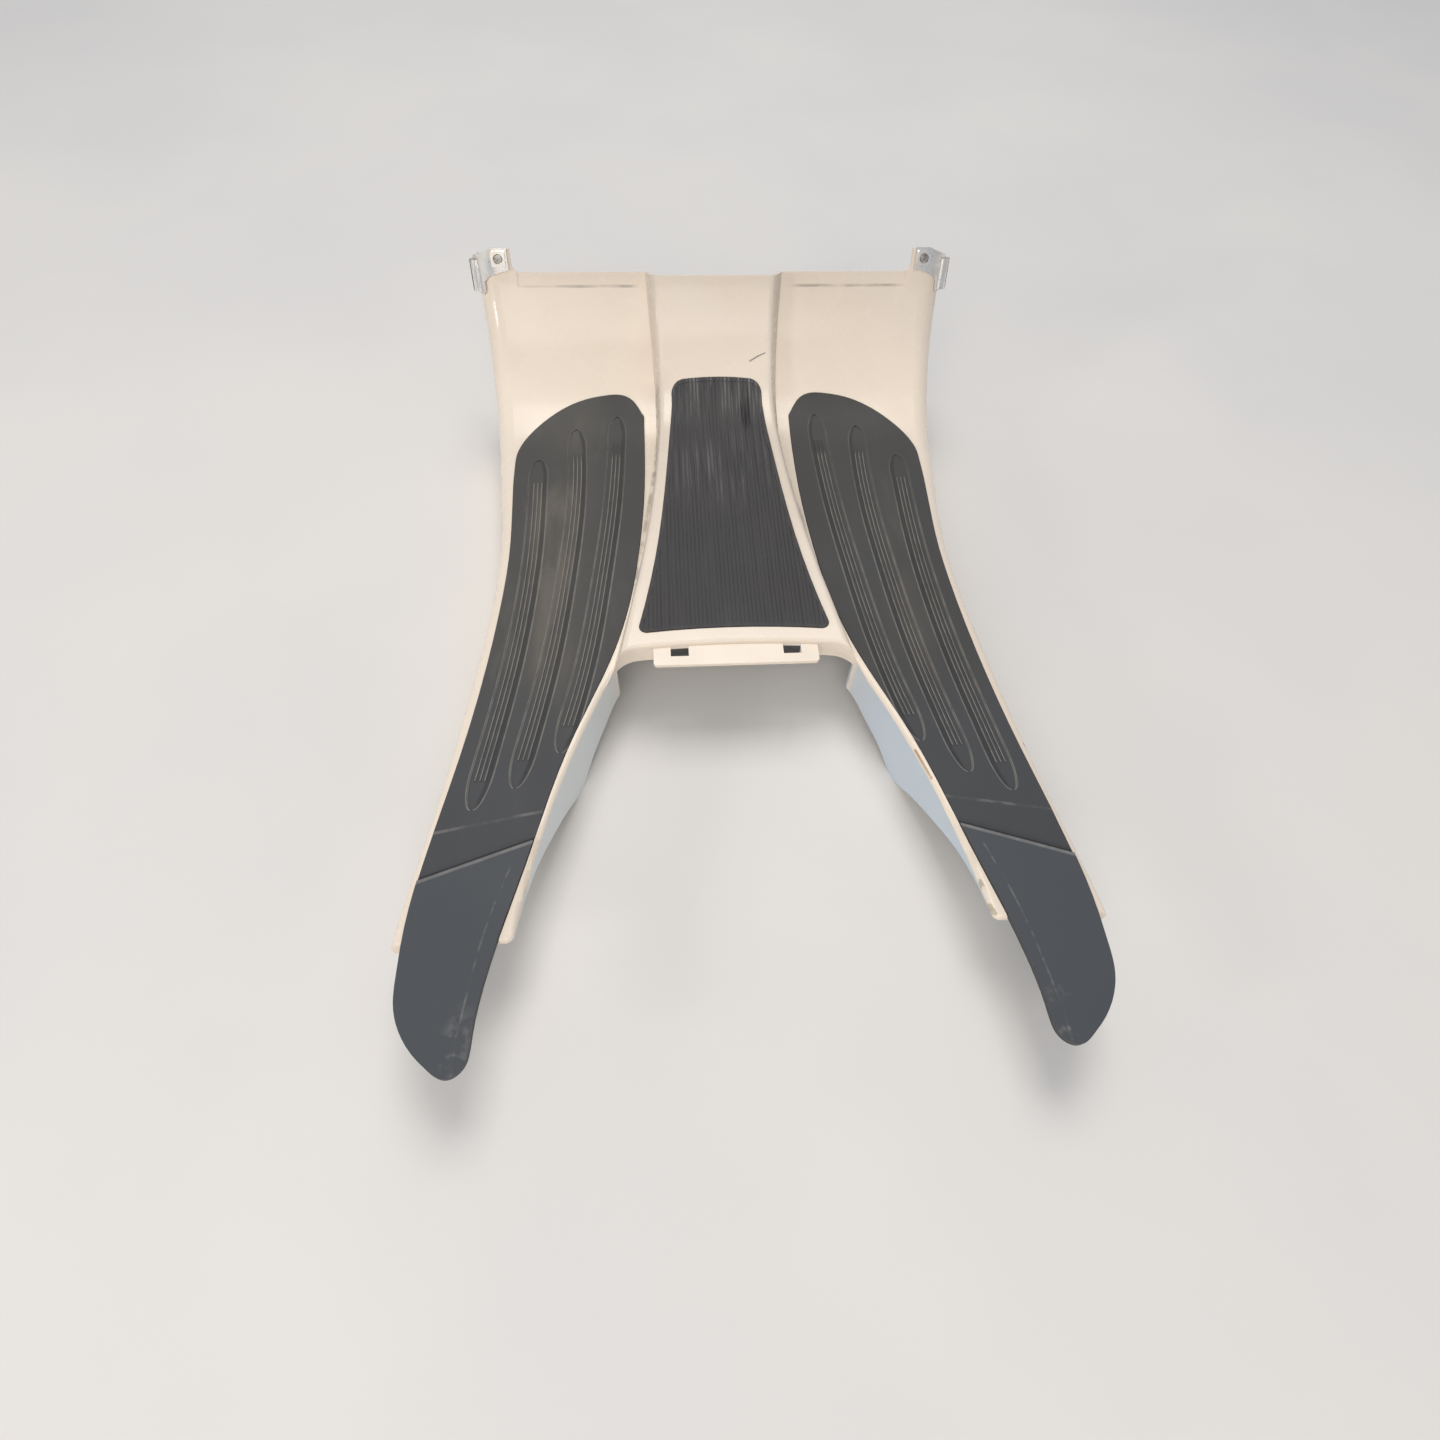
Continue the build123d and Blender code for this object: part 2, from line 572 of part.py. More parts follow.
with BuildPart() as floor_panel:
    add(panel_body(0, 0))
    add(rounded_cutout(FLOOR_HEIGHT), mode=Mode.SUBTRACT)
    add(tunnel.part)
    add(hollow.part, mode=Mode.SUBTRACT)

    # Recesses for the mats, and the holes for their pegs
    recess = layer(side_mat_plan(SIDE_GAP), -RECESS, NEAR)
    add(recess, mode=Mode.SUBTRACT)
    add(mirror(recess, about=Plane.YZ), mode=Mode.SUBTRACT)
    add(layer(centre_mat_plan(SIDE_GAP), TUNNEL_RISE - RECESS, NEAR), mode=Mode.SUBTRACT)
    with BuildSketch():
        for x, y in SIDE_PEGS + CENTRE_PEGS:
            with Locations((x, y), (-x, y)):
                Circle(PEG_HOLE / 2)
    extrude(amount=FAR, mode=Mode.SUBTRACT)

    # Frame-bolt holes, with their heads sunk under the mats
    with BuildSketch():
        with Locations(*BOLTS):
            Circle(BOLT_HOLE / 2)
    extrude(amount=FAR, mode=Mode.SUBTRACT)
    with BuildSketch(Plane.XY.offset(FLOOR_HEIGHT - RECESS - BOLT_HEAD_DEPTH)):
        with Locations(*BOLTS):
            Circle(BOLT_HEAD_BORE / 2)
    extrude(amount=FAR, mode=Mode.SUBTRACT)

    # Lower edges of the outer skirts and of the walls along the cut-out
    for side in (1, -1):
        with BuildSketch(Plane.YZ.offset(side * SKIRT_SPLIT)):
            with BuildLine():
                edge = Spline(*SKIRT_EDGE)
                front = Line(edge @ 1, (SKIRT_EDGE[-1][0], -SPARE))
                rear = Line(edge @ 0, (ARM_END, -SPARE))
                Line(front @ 1, rear @ 1)
            make_face()
        extrude(amount=side * FAR, mode=Mode.SUBTRACT)
    with BuildSketch(Plane.YZ):
        with BuildLine():
            edge = Spline(*INNER_EDGE)
            front = Line(edge @ 0, (INNER_EDGE[0][0], -SPARE))
            rear = Line(edge @ 1, (ARM_END, -SPARE))
            Line(front @ 1, rear @ 1)
        make_face()
    extrude(amount=SKIRT_SPLIT, both=True, mode=Mode.SUBTRACT)

    # Nothing under the rear wall, and the rear ledge with its tab slots
    with BuildSketch():
        with Locations((0, CUTOUT_FRONT_Y + SPARE)):
            Rectangle(2 * INNER_WALL_HALF, FAR, align=(Align.CENTER, Align.MAX))
    extrude(amount=REAR_WALL_FOOT, mode=Mode.SUBTRACT)
    with BuildSketch(Plane.XY.offset(FLOOR_HEIGHT + TUNNEL_RISE - LEDGE_DROP - WALL)) as ledge:
        with Locations((0, CUTOUT_FRONT_Y + WALL / 2)):
            Rectangle(2 * LEDGE_HALF, LEDGE_REACH + WALL / 2, align=(Align.CENTER, Align.MAX))
        fillet(ledge.vertices().group_by(Axis.Y)[0], LEDGE_CORNER)
        with Locations((SLOT_X, CUTOUT_FRONT_Y - SLOT_IN), (-SLOT_X, CUTOUT_FRONT_Y - SLOT_IN)):
            Rectangle(SLOT_WIDTH, SLOT_LENGTH, align=(Align.CENTER, Align.MAX), mode=Mode.SUBTRACT)
    extrude(amount=WALL)

    # Between the ears the panel ends at the top of the sweep, with a joggled strip along that edge
    with BuildSketch(EAR_PLANE) as bay:
        Rectangle(2 * EAR_INNER, FAR, align=(Align.CENTER, Align.MIN))
        fillet(bay.vertices().group_by(Axis.Z)[0], EAR_ROOT_RADIUS)
    extrude(amount=FAR / 2, both=True, mode=Mode.SUBTRACT)
    with BuildPart(mode=Mode.PRIVATE) as joggle:
        with BuildSketch(EAR_PLANE):
            for side in (1, -1):
                with Locations((side * (JOGGLE_INNER + JOGGLE_OUTER) / 2, 0)):
                    Rectangle(JOGGLE_OUTER - JOGGLE_INNER, JOGGLE_WIDTH, align=(Align.CENTER, Align.MAX))
        extrude(amount=NEAR, both=True)
        add(floor_band(-JOGGLE_DEPTH, NEAR), mode=Mode.INTERSECT)
    add(joggle.part, mode=Mode.SUBTRACT)

    # Outer corners of the ears, sloped to stay under the caps
    ear_slope = [(x, up - CAP_OVERHANG) for x, up in CAP_OUTLINE[1:4]]
    with BuildSketch(EAR_PLANE) as ear_corners:
        with BuildLine():
            Polyline(*ear_slope, (ear_slope[-1][0], NEAR), (ear_slope[0][0], NEAR), close=True)
        make_face()
        mirror(about=Plane.YZ)
    extrude(amount=2 * NEAR, both=True, mode=Mode.SUBTRACT)

    # Holes for the cap screws
    with BuildSketch(EAR_PLANE):
        with Locations((SCREW_X, SCREW_UP), (-SCREW_X, SCREW_UP)):
            Circle(SCREW_HOLE / 2)
    extrude(amount=NEAR, both=True, mode=Mode.SUBTRACT)

# Right mat in two layers, with the sunk pads left out of the upper one
with BuildSketch() as tread:
    add(side_mat_plan(0))
    for spine in LENSES:
        add(lens_plan(spine), mode=Mode.SUBTRACT)

with BuildPart() as right_mat:
    add(layer(side_mat_plan(0), SEAT_GAP - RECESS, MAT_PROUD - LENS_DEPTH))
    add(layer(tread.sketch, MAT_PROUD - LENS_DEPTH, MAT_PROUD))
    with BuildSketch(Plane.XY.offset(FLOOR_HEIGHT)):
        add(side_mat_plan(0))
        with BuildLine():
            crease = Line(CREASE_OUTER, CREASE_INNER)
            past_tip = [(CREASE_INNER[0], -2 * FAR), (CREASE_OUTER[0], -2 * FAR)]
            Polyline(crease @ 1, *past_tip, crease @ 0)
        make_face(mode=Mode.INTERSECT)
    extrude(amount=PAD_PROUD)
    top = FLOOR_HEIGHT + MAT_PROUD
    ramp_ends = [(RAMP_OUTER, CREASE_OUTER), (RAMP_INNER, CREASE_INNER)]
    ramp_faces = [upright(low, high, top, top - RAMP_DROP) for low, high in ramp_ends]
    loft(sections=ramp_faces, ruled=True, mode=Mode.SUBTRACT)
    add(pegs(SIDE_PEGS, SIDE_SEAT))

with BuildPart() as left_mat:
    mirror(right_mat.part, about=Plane.YZ)

with BuildPart() as center_mat:
    add(layer(centre_mat_plan(0), TUNNEL_RISE - RECESS + SEAT_GAP, TUNNEL_RISE + MAT_PROUD))
    with BuildSketch() as grooves:
        add(centre_mat_plan(-GROOVE_BORDER))
        with GridLocations(GROOVE_PITCH, 1, GROOVE_COUNT, 1):
            Rectangle(GROOVE_PITCH - GROOVE, 2 * FAR, mode=Mode.SUBTRACT)
    add(
        layer(grooves.sketch, TUNNEL_RISE + MAT_PROUD - GROOVE_DEPTH, TUNNEL_RISE + PAD_PROUD),
        mode=Mode.SUBTRACT,
    )
    add(pegs(CENTRE_PEGS + [(-x, y) for x, y in CENTRE_PEGS], CENTRE_SEAT))


def ear_form(inset):
    """Full body of the panel's top end, round which a trim cap is formed."""
    with BuildPart() as body:
        for places in (steps(SWEEP_END - NEAR, SWEEP_END, 2), [SWEEP_END, EAR_END + SPARE]):
            loft(sections=[panel_section(place, inset, 0) for place in places])
    return body.part


with BuildPart() as right_trim_cap:
    with BuildSketch(EAR_PLANE.offset(-CAP_WRAP)):
        with BuildLine():
            Polyline(*CAP_OUTLINE, close=True)
        make_face()
    extrude(amount=CAP_WRAP + NEAR)
    add(ear_form(-SEAT_GAP - CAP_SKIN), mode=Mode.INTERSECT)
    with BuildSketch(EAR_PLANE):
        with Locations((SCREW_X, SCREW_UP)):
            RectangleRounded(SCREW_PAD, SCREW_PAD, SCREW_PAD_CORNER)
    extrude(amount=SCREW_PAD_PROUD)
    bead_plane = floor_plane(SWEEP_END).offset(-BEAD_FRONT)
    roll = along(SWEEP_END, PANEL_ROLL)
    roll_x = along(SWEEP_END, PANEL_EDGE) - roll
    tilt = radians(BEAD_TILT)
    with BuildSketch(bead_plane):
        with Locations((roll_x + roll * sin(tilt), roll * cos(tilt) - roll)):
            Circle(BEAD_RADIUS)
    extrude(amount=BEAD_FRONT - BEAD_REAR)
    add(ear_form(-SEAT_GAP), mode=Mode.SUBTRACT)
    bead_top = roll + BEAD_RADIUS
    slot_spot = (roll_x + bead_top * sin(tilt), bead_top * cos(tilt) - roll, 0)
    with BuildSketch(bead_plane):
        with Locations(Location(slot_spot, (0, 0, -BEAD_TILT))):
            Rectangle(BEAD_SLOT, 2 * BEAD_SLOT_DEPTH)
    extrude(amount=BEAD_FRONT - BEAD_REAR, mode=Mode.SUBTRACT)
    with BuildSketch(EAR_PLANE):
        with Locations((SCREW_X, SCREW_UP)):
            Circle(SCREW_HOLE / 2)
    extrude(amount=NEAR, both=True, mode=Mode.SUBTRACT)
    with BuildSketch(EAR_PLANE.offset(SCREW_SEAT)):
        with Locations((SCREW_X, SCREW_UP)):
            Circle(SCREW_HEAD_BORE / 2)
    extrude(amount=NEAR, mode=Mode.SUBTRACT)

with BuildPart() as left_trim_cap:
    mirror(right_trim_cap.part, about=Plane.YZ)

with BuildPart() as cap_screws:
    with BuildSketch(EAR_PLANE.offset(SCREW_SEAT)):
        with Locations(*SCREWS):
            Circle(SCREW_HEAD / 2)
    extrude(amount=SCREW_HEAD_HEIGHT)
    head_tops = cap_screws.faces().filter_by(EAR_PLANE).sort_by(Axis((0, 0, 0), EAR_PLANE.z_dir))[-2:]
    fillet(head_tops.edges(), SCREW_HEAD_ROUND)
    with BuildSketch(EAR_PLANE.offset(SCREW_SEAT)):
        with Locations(*SCREWS):
            Circle(SCREW / 2)
    extrude(amount=-SCREW_LENGTH)
    with BuildSketch(EAR_PLANE.offset(SCREW_SEAT + SCREW_HEAD_HEIGHT - DRIVE_DEPTH)):
        with Locations(*SCREWS):
            Rectangle(DRIVE_WIDTH, DRIVE_SPAN)
            Rectangle(DRIVE_SPAN, DRIVE_WIDTH)
    extrude(amount=DRIVE_DEPTH, mode=Mode.SUBTRACT)

with BuildPart() as clip_nuts:
    with BuildSketch(EAR_PLANE.offset(-WALL - NUT_GAP)):
        with Locations(*SCREWS):
            Rectangle(NUT_PLATE, NUT_PLATE)
    extrude(amount=-NUT_PLATE_THICK)
    with BuildSketch(EAR_PLANE.offset(-WALL - NUT_GAP - NUT_PLATE_THICK)):
        with Locations(*SCREWS):
            Circle(NUT_COLLAR / 2)
    extrude(amount=-NUT_COLLAR_DEPTH)
    with BuildSketch(EAR_PLANE):
        with Locations(*SCREWS):
            Circle(SCREW / 2 + NUT_CLEAR)
    extrude(amount=-NEAR, mode=Mode.SUBTRACT)

os.makedirs("parts", exist_ok=True)
nodes = {
    "floor_panel": floor_panel,
    "left_mat": left_mat,
    "right_mat": right_mat,
    "center_mat": center_mat,
    "left_trim_cap": left_trim_cap,
    "right_trim_cap": right_trim_cap,
    "cap_screws": cap_screws,
    "clip_nuts": clip_nuts,
}
for node, built in nodes.items():
    built.part.label = node
    export_step(built.part, f"parts/{node}.step")
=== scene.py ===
# %% [markdown]
# A scooter floorboard, dressed from its CAD frame
#
# The board is one moulded and painted panel with three rubber mats let into it and two chromed trim
# caps on its top corners. Every form of it is already a solid at its real size, so this lesson is about
# looking: where the camera stands, how daylight falls on gloss paint, and how old paint, dusty rubber
# and chrome are built from nodes. Everything is in metres, with +Y towards the leg shield.
#
# The solids could be modelled again by hand, but then they might drift from the part that is made, so their
# meshes are loaded as they are and only get materials.

# %% Load the frame
import math

import bpy
from mathutils import Matrix, Vector

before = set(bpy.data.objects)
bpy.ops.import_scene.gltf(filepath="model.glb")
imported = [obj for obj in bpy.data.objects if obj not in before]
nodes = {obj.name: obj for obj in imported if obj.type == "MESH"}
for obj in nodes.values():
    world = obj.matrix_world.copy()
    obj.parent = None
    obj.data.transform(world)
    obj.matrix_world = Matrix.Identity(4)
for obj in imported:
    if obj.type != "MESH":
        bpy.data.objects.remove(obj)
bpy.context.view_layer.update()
print("nodes:", sorted(nodes))

# %% [markdown]
# Where the camera looks
#
# The board is seen from behind and above, a little from the left, with the camera tipped by a few
# degrees. Such a view can be found by eye, by moving the camera until things line up. Here it was solved
# from the outlines of the two side mats: they mirror each other, and so tell the height, the distance
# and three angles at once. The angles become three directions: right, down and ahead in the picture.

# %% Camera directions
PITCH = math.radians(58.73)
YAW = math.radians(-5.89)
ROLL = math.radians(3.15)

turn = Matrix.Rotation(YAW, 3, "Z")
across = turn @ Vector((1, 0, 0))
down = turn @ Vector((0, -math.sin(PITCH), -math.cos(PITCH)))
ahead = turn @ Vector((0, math.cos(PITCH), -math.sin(PITCH)))
right = math.cos(ROLL) * across - math.sin(ROLL) * down
lower = math.sin(ROLL) * across + math.cos(ROLL) * down
print("looking along", tuple(round(v, 3) for v in ahead))

# %% [markdown]
# The camera itself
#
# A camera in Blender looks along its own -Z with +Y up, so the three directions become the columns of
# its matrix, two of them turned round. The lens is known in pixels of the picture, and Blender wants
# millimetres on a sensor, so it is scaled by the sensor's width.

# %% Camera
EYE = Vector((-0.0497, -0.441, 0.602))
FOCAL_PIXELS = 811.0
IMAGE_PIXELS = 1440.0
SENSOR = 36.0
NEAREST = 0.01

bpy.ops.object.select_all(action="DESELECT")
bpy.ops.object.camera_add(location=EYE)
camera = bpy.context.object
camera.name = "camera"
camera.matrix_world = Matrix((
    (right.x, -lower.x, -ahead.x, EYE.x),
    (right.y, -lower.y, -ahead.y, EYE.y),
    (right.z, -lower.z, -ahead.z, EYE.z),
    (0, 0, 0, 1),
))
camera.data.sensor_width = SENSOR
camera.data.lens = SENSOR * FOCAL_PIXELS / IMAGE_PIXELS
camera.data.clip_start = NEAREST
bpy.context.scene.camera = camera
print("camera at", tuple(round(v, 3) for v in camera.location), "lens", round(camera.data.lens, 2))

# %% [markdown]
# The floor
#
# The board lies on a plain pale floor. One large plane is enough, as long as its edges are out of sight.

# %% Floor
FLOOR_SIZE = 12.0

bpy.ops.object.select_all(action="DESELECT")
bpy.ops.mesh.primitive_plane_add(size=FLOOR_SIZE, location=(0, 0, 0))
floor = bpy.context.object
floor.name = "floor"
print("floor of", floor.dimensions.x, "m")

# %% [markdown]
# Starting a material
#
# A procedural material is a tree of nodes. In the shader editor, nodes are placed and joined by hand, but
# this board has so many marks that small helpers do it. The first starts a material, the second fills a
# node's inputs, by a link where the value comes from another node, and the third adds a node. Object
# coordinates are metres on the piece itself, so a mark can be put exactly where the real board has it.

# %% Floor material
def new_look(name):
    """A new material with its shader, returned as (material, node tree, shader)."""
    look = bpy.data.materials.new(name)
    look.use_nodes = True
    return look, look.node_tree, look.node_tree.nodes["Principled BSDF"]


def fill(tree, node, inputs):
    """Sets a node's inputs by name or number, with a link where the value is a socket."""
    for key, value in inputs.items():
        if isinstance(value, bpy.types.NodeSocket):
            tree.links.new(value, node.inputs[key])
        else:
            node.inputs[key].default_value = value


def add_node(tree, kind, inputs=None, **settings):
    """Adds a node, with settings as attributes and inputs by name or number."""
    made = tree.nodes.new(kind)
    for key, value in settings.items():
        setattr(made, key, value)
    fill(tree, made, inputs or {})
    return made


def places(tree):
    """The places on a piece, in metres."""
    return add_node(tree, "ShaderNodeTexCoord").outputs["Object"]


floor_look, tree, shader = new_look("pale_floor")
floor.data.materials.append(floor_look)
coords = places(tree)
print(floor_look.name, "reads", coords.name, "coordinates")

# %% [markdown]
# Clouds
#
# No large surface is quite even. Noise gives a value from 0 to 1 at each place, and a fade stretches the
# part of it that matters. A picture of a floor would do as well, but these two helpers come back in every
# finish of the board, and they need no picture file.

# %% Floor clouds
FLOOR_CLOUD_SCALE = 2.2


def fade(tree, value, start, end, low=0.0, high=1.0, kind="SMOOTHSTEP"):
    """Goes from low at start to high at end, and stays there beyond them."""
    made = add_node(
        tree, "ShaderNodeMapRange",
        {"Value": value, "From Min": start, "From Max": end, "To Min": low, "To Max": high},
        interpolation_type=kind,
    )
    return made.outputs["Result"]


def noise(tree, coords, scale, detail=4.0, roughness=0.55, stretch=None):
    """Cloudy noise from 0 to 1, stretched along an axis if asked."""
    if stretch:
        coords = add_node(tree, "ShaderNodeMapping", {"Vector": coords, "Scale": stretch}).outputs[0]
    values = {"Vector": coords, "Scale": scale, "Detail": detail, "Roughness": roughness}
    return add_node(tree, "ShaderNodeTexNoise", values).outputs["Fac"]


cloud = noise(tree, coords, scale=FLOOR_CLOUD_SCALE, detail=3.0)
warmth = fade(tree, cloud, 0.3, 0.7)
print("floor clouds at scale", FLOOR_CLOUD_SCALE)

# %% [markdown]
# Two near tones
#
# The clouds are now a share, and a mix turns that share into a colour between two near tones. The Mix node
# can also mix numbers and vectors, so its colour sockets come late in its lists and are picked by number.

# %% Floor colour
FLOOR_COOL = (0.72, 0.70, 0.68)
FLOOR_WARM = (0.76, 0.735, 0.70)
COLOUR_A = 6
COLOUR_B = 7
COLOUR_OUT = 2


def mix_colour(tree, share, first, second):
    """Mixes two colours by a share from 0 to 1."""
    made = add_node(tree, "ShaderNodeMix", {"Factor": share}, data_type="RGBA")
    for key, colour in ((COLOUR_A, first), (COLOUR_B, second)):
        whole = colour if isinstance(colour, bpy.types.NodeSocket) else (*colour, 1.0)
        fill(tree, made, {key: whole})
    return made.outputs[COLOUR_OUT]


pale = mix_colour(tree, warmth, FLOOR_COOL, FLOOR_WARM)
fill(tree, shader, {"Base Color": pale, "Roughness": 0.7, "Specular IOR Level": 0.1})
print("floor colour mixed with", len(tree.nodes), "nodes")

# %% [markdown]
# Lamps
#
# The shadows fall inwards between the arms, so the main light stands high on the far side. The front that
# sweeps up is as bright as the flat floor, so a second wide, warm light stands on the viewer's side. A
# sun lamp would draw hard shadows, and a wide lamp far away keeps them soft and the floor even. A third,
# small lamp at the left makes the glint on the rolled edge.

# %% Lamps
SKYLIGHT_TINT = (1.0, 0.96, 0.91)
DAYLIGHT_TINT = (1.0, 0.92, 0.83)
GLINT_TINT = (1.0, 0.97, 0.92)


def area_lamp(name, place, aim, size, power, colour):
    """Adds a square area lamp that points at a spot."""
    bpy.ops.object.light_add(type="AREA", location=place)
    lamp = bpy.context.object
    lamp.name = name
    lamp.data.size = size
    lamp.data.energy = power
    lamp.data.color = colour
    lamp.rotation_euler = (Vector(aim) - Vector(place)).to_track_quat("-Z", "Y").to_euler()
    print(name, "of", power, "W")


area_lamp("skylight", place=(0.1, 1.5, 3.4), aim=(0, 0, 0), size=1.8, power=64.0, colour=SKYLIGHT_TINT)
area_lamp("daylight", place=(-0.4, -2.2, 1.8), aim=(0, 0, 0.05), size=2.0, power=38.0, colour=DAYLIGHT_TINT)
area_lamp("glint", place=(-2.2, -0.9, 0.9), aim=(-0.15, 0.1, 0.06), size=0.35, power=10.0, colour=GLINT_TINT)

# %% [markdown]
# Sky
#
# The walls between the arms face no lamp, so the sky lights them, cool and soft. One flat colour would be
# simpler, but chrome mirrors the sky as well and needs a change from top to bottom to look like metal.
# So the sky is pale at the horizon and bluer overhead. The Standard view keeps colours as they are
# written.

# %% Sky
SKY_LOW = (0.80, 0.84, 0.90)
SKY_HIGH = (0.50, 0.57, 0.68)
SKY_STRENGTH = 0.55


def split(tree, vector):
    """X, Y and Z of a vector, as single values."""
    return add_node(tree, "ShaderNodeSeparateXYZ", {0: vector}).outputs


world = bpy.data.worlds.new("cool_sky")
bpy.context.scene.world = world
world.use_nodes = True
tree = world.node_tree
heading = add_node(tree, "ShaderNodeTexCoord").outputs["Generated"]
height = split(tree, heading)["Z"]
blue = mix_colour(tree, fade(tree, height, 0.05, 0.75), SKY_LOW, SKY_HIGH)
fill(tree, tree.nodes["Background"], {"Color": blue, "Strength": SKY_STRENGTH})
bpy.context.scene.view_settings.view_transform = "Standard"
print("sky of strength", SKY_STRENGTH)

# %% [markdown]
# Cream gloss paint
#
# The real panel is an injection moulding that was sprayed in cream gloss. Old cream isn't one tone: it
# yellows in clouds, so two near creams are mixed by slow noise. Left and right of the board wear alike,
# so most masks measure the distance from the middle line, which is X without its sign.

# %% Base cream
CREAM = (0.84, 0.735, 0.615)
AGED_CREAM = (0.81, 0.695, 0.57)


def math_node(tree, operation, first, second=0.5, clamp=False):
    """One sum of two values or sockets."""
    made = add_node(tree, "ShaderNodeMath", {0: first, 1: second}, operation=operation, use_clamp=clamp)
    return made.outputs[0]


def on_board(tree):
    """The places on a piece, and its X, the distance from the middle line, Y and Z as single values."""
    coords = places(tree)
    x, y, z = split(tree, coords)
    return coords, x, math_node(tree, "ABSOLUTE", x), y, z


panel_paint, tree, shader = new_look("cream_gloss_paint")
coords, x, side, y, z = on_board(tree)
cloud = noise(tree, coords, scale=7.0, detail=5.0)
fleck = noise(tree, coords, scale=70.0, detail=5.0)
cream = mix_colour(tree, fade(tree, cloud, 0.3, 0.75), CREAM, AGED_CREAM)
print(panel_paint.name, "starts with", len(tree.nodes), "nodes")

# %% [markdown]
# Lines that follow the board
#
# The rolled outer edge bends along the board, so its paint can't be found with a straight limit. Its line
# runs through the few knots, in millimetres, that the solid was drawn with, so a mask made from it lies
# exactly on the moulded edge. A smooth curve needs a slope at each knot, and the slope between the knot's
# two neighbours serves well.

# %% Edge line
PANEL_EDGE = [(-281, 244), (-93, 214.5), (65, 202), (257, 220), (338, 230)]


def along(place, knots):
    """Value at a place on a smooth curve through (place, value) knots."""
    slopes = []
    for i in range(len(knots)):
        before = knots[max(i - 1, 0)]
        after = knots[min(i + 1, len(knots) - 1)]
        slopes.append((after[1] - before[1]) / (after[0] - before[0]))
    i = 0
    while i < len(knots) - 2 and place > knots[i + 1][0]:
        i += 1
    span = knots[i + 1][0] - knots[i][0]
    t = (place - knots[i][0]) / span
    return (
        (2 * t**3 - 3 * t**2 + 1) * knots[i][1]
        + (t**3 - 2 * t**2 + t) * span * slopes[i]
        + (3 * t**2 - 2 * t**3) * knots[i + 1][1]
        + (t**3 - t**2) * span * slopes[i + 1]
    )


print("outer edge at Y 0:", round(along(0, PANEL_EDGE), 1), "mm from the middle line")

# %% [markdown]
# The line as a node
#
# A Float Curve node can turn Y into the X of such a line. It works from 0 to 1 in both directions, so Y is
# brought to that range before it, and X is brought back to metres after it. An image map would do this
# too, but it would have to be painted again after each change to the shape.

# %% Rolled edge
EDGE_ROLL = (-0.006, -0.003)
CURVE_STOPS = 12


def curve_x(tree, y, knots):
    """X of a smooth line over the board at a socket's Y, from (Y, X) knots in millimetres."""
    rear = knots[0][0]
    front = knots[-1][0]
    values = [along(rear + (front - rear) * i / CURVE_STOPS, knots) for i in range(CURVE_STOPS + 1)]
    least = min(values)
    most = max(values)
    heights = [(value - least) / (most - least) for value in values]
    bend = tree.nodes.new("ShaderNodeFloatCurve")
    points = bend.mapping.curves[0].points
    points[0].location = (0.0, heights[0])
    points[1].location = (1.0, heights[-1])
    for i in range(1, CURVE_STOPS):
        points.new(i / CURVE_STOPS, heights[i])
    bend.mapping.update()
    fill(tree, bend, {"Value": fade(tree, y, rear / 1000, front / 1000, kind="LINEAR")})
    return fade(tree, bend.outputs[0], 0.0, 1.0, least / 1000, most / 1000, kind="LINEAR")


edge = curve_x(tree, y, PANEL_EDGE)
outer = fade(tree, math_node(tree, "SUBTRACT", side, edge), *EDGE_ROLL)
print("edge curve with", CURVE_STOPS + 1, "points")

# %% [markdown]
# Yellow skirts
#
# Low on the outside, where spray and mud dry, the skirts are more yellow than the floor. Three masks
# multiplied find that place: on the rolled edge, low down, and patchy. Multiplying masks is the plain
# way to say "and" with nodes.

# %% Skirts
SKIRT_YELLOW = (0.74, 0.60, 0.42)
SKIRT_HEIGHT = (0.055, 0.03)


def times(tree, first, *others):
    """Product of several masks."""
    for other in others:
        first = math_node(tree, "MULTIPLY", first, other)
    return first


skirt = times(tree, outer, fade(tree, z, *SKIRT_HEIGHT), fade(tree, cloud, 0.25, 0.6, low=0.3, high=0.8))
cream = mix_colour(tree, skirt, cream, SKIRT_YELLOW)
print("skirts yellow below", SKIRT_HEIGHT[0], "m")

# %% [markdown]
# Bare inner walls
#
# The spray gun worked from above, so the inner walls between the arms and the underside stay bare grey-blue
# plastic. The right wall is painted bluer and darker than the left, as painted light of the cool sky it
# faces. A second material on chosen faces would cut the colour hard at an edge. The direction a face looks
# in tells painted and bare apart with a soft border, as overspray does.

# %% Bare plastic
PLASTIC_LEFT = (0.76, 0.79, 0.78)
PLASTIC_RIGHT_SKY_TINT = (0.57, 0.64, 0.71)
MIDDLE = (-0.02, 0.02)
LOOKS_UP = (0.1, 0.3)
LOOKS_DOWN = (-0.1, -0.3)
LOOKS_REARWARD = (-0.35, -0.6)
ARMS_START = (0.0, -0.02)

normal = add_node(tree, "ShaderNodeTexCoord").outputs["Normal"]
face_x, face_y, face_z = split(tree, normal)
bare = math_node(tree, "MAXIMUM", fade(tree, y, *ARMS_START), fade(tree, face_z, *LOOKS_DOWN))
for painted in (outer, fade(tree, face_z, *LOOKS_UP), fade(tree, face_y, *LOOKS_REARWARD)):
    bare = times(tree, bare, math_node(tree, "SUBTRACT", 1.0, painted))
# The right wall's bluer, darker tone is painted light of the cool sky it faces.
plastic = mix_colour(tree, fade(tree, x, *MIDDLE), PLASTIC_LEFT, PLASTIC_RIGHT_SKY_TINT)
cream = mix_colour(tree, bare, cream, plastic)
print("bare plastic behind Y", ARMS_START[1], "m, with", len(tree.nodes), "nodes so far")
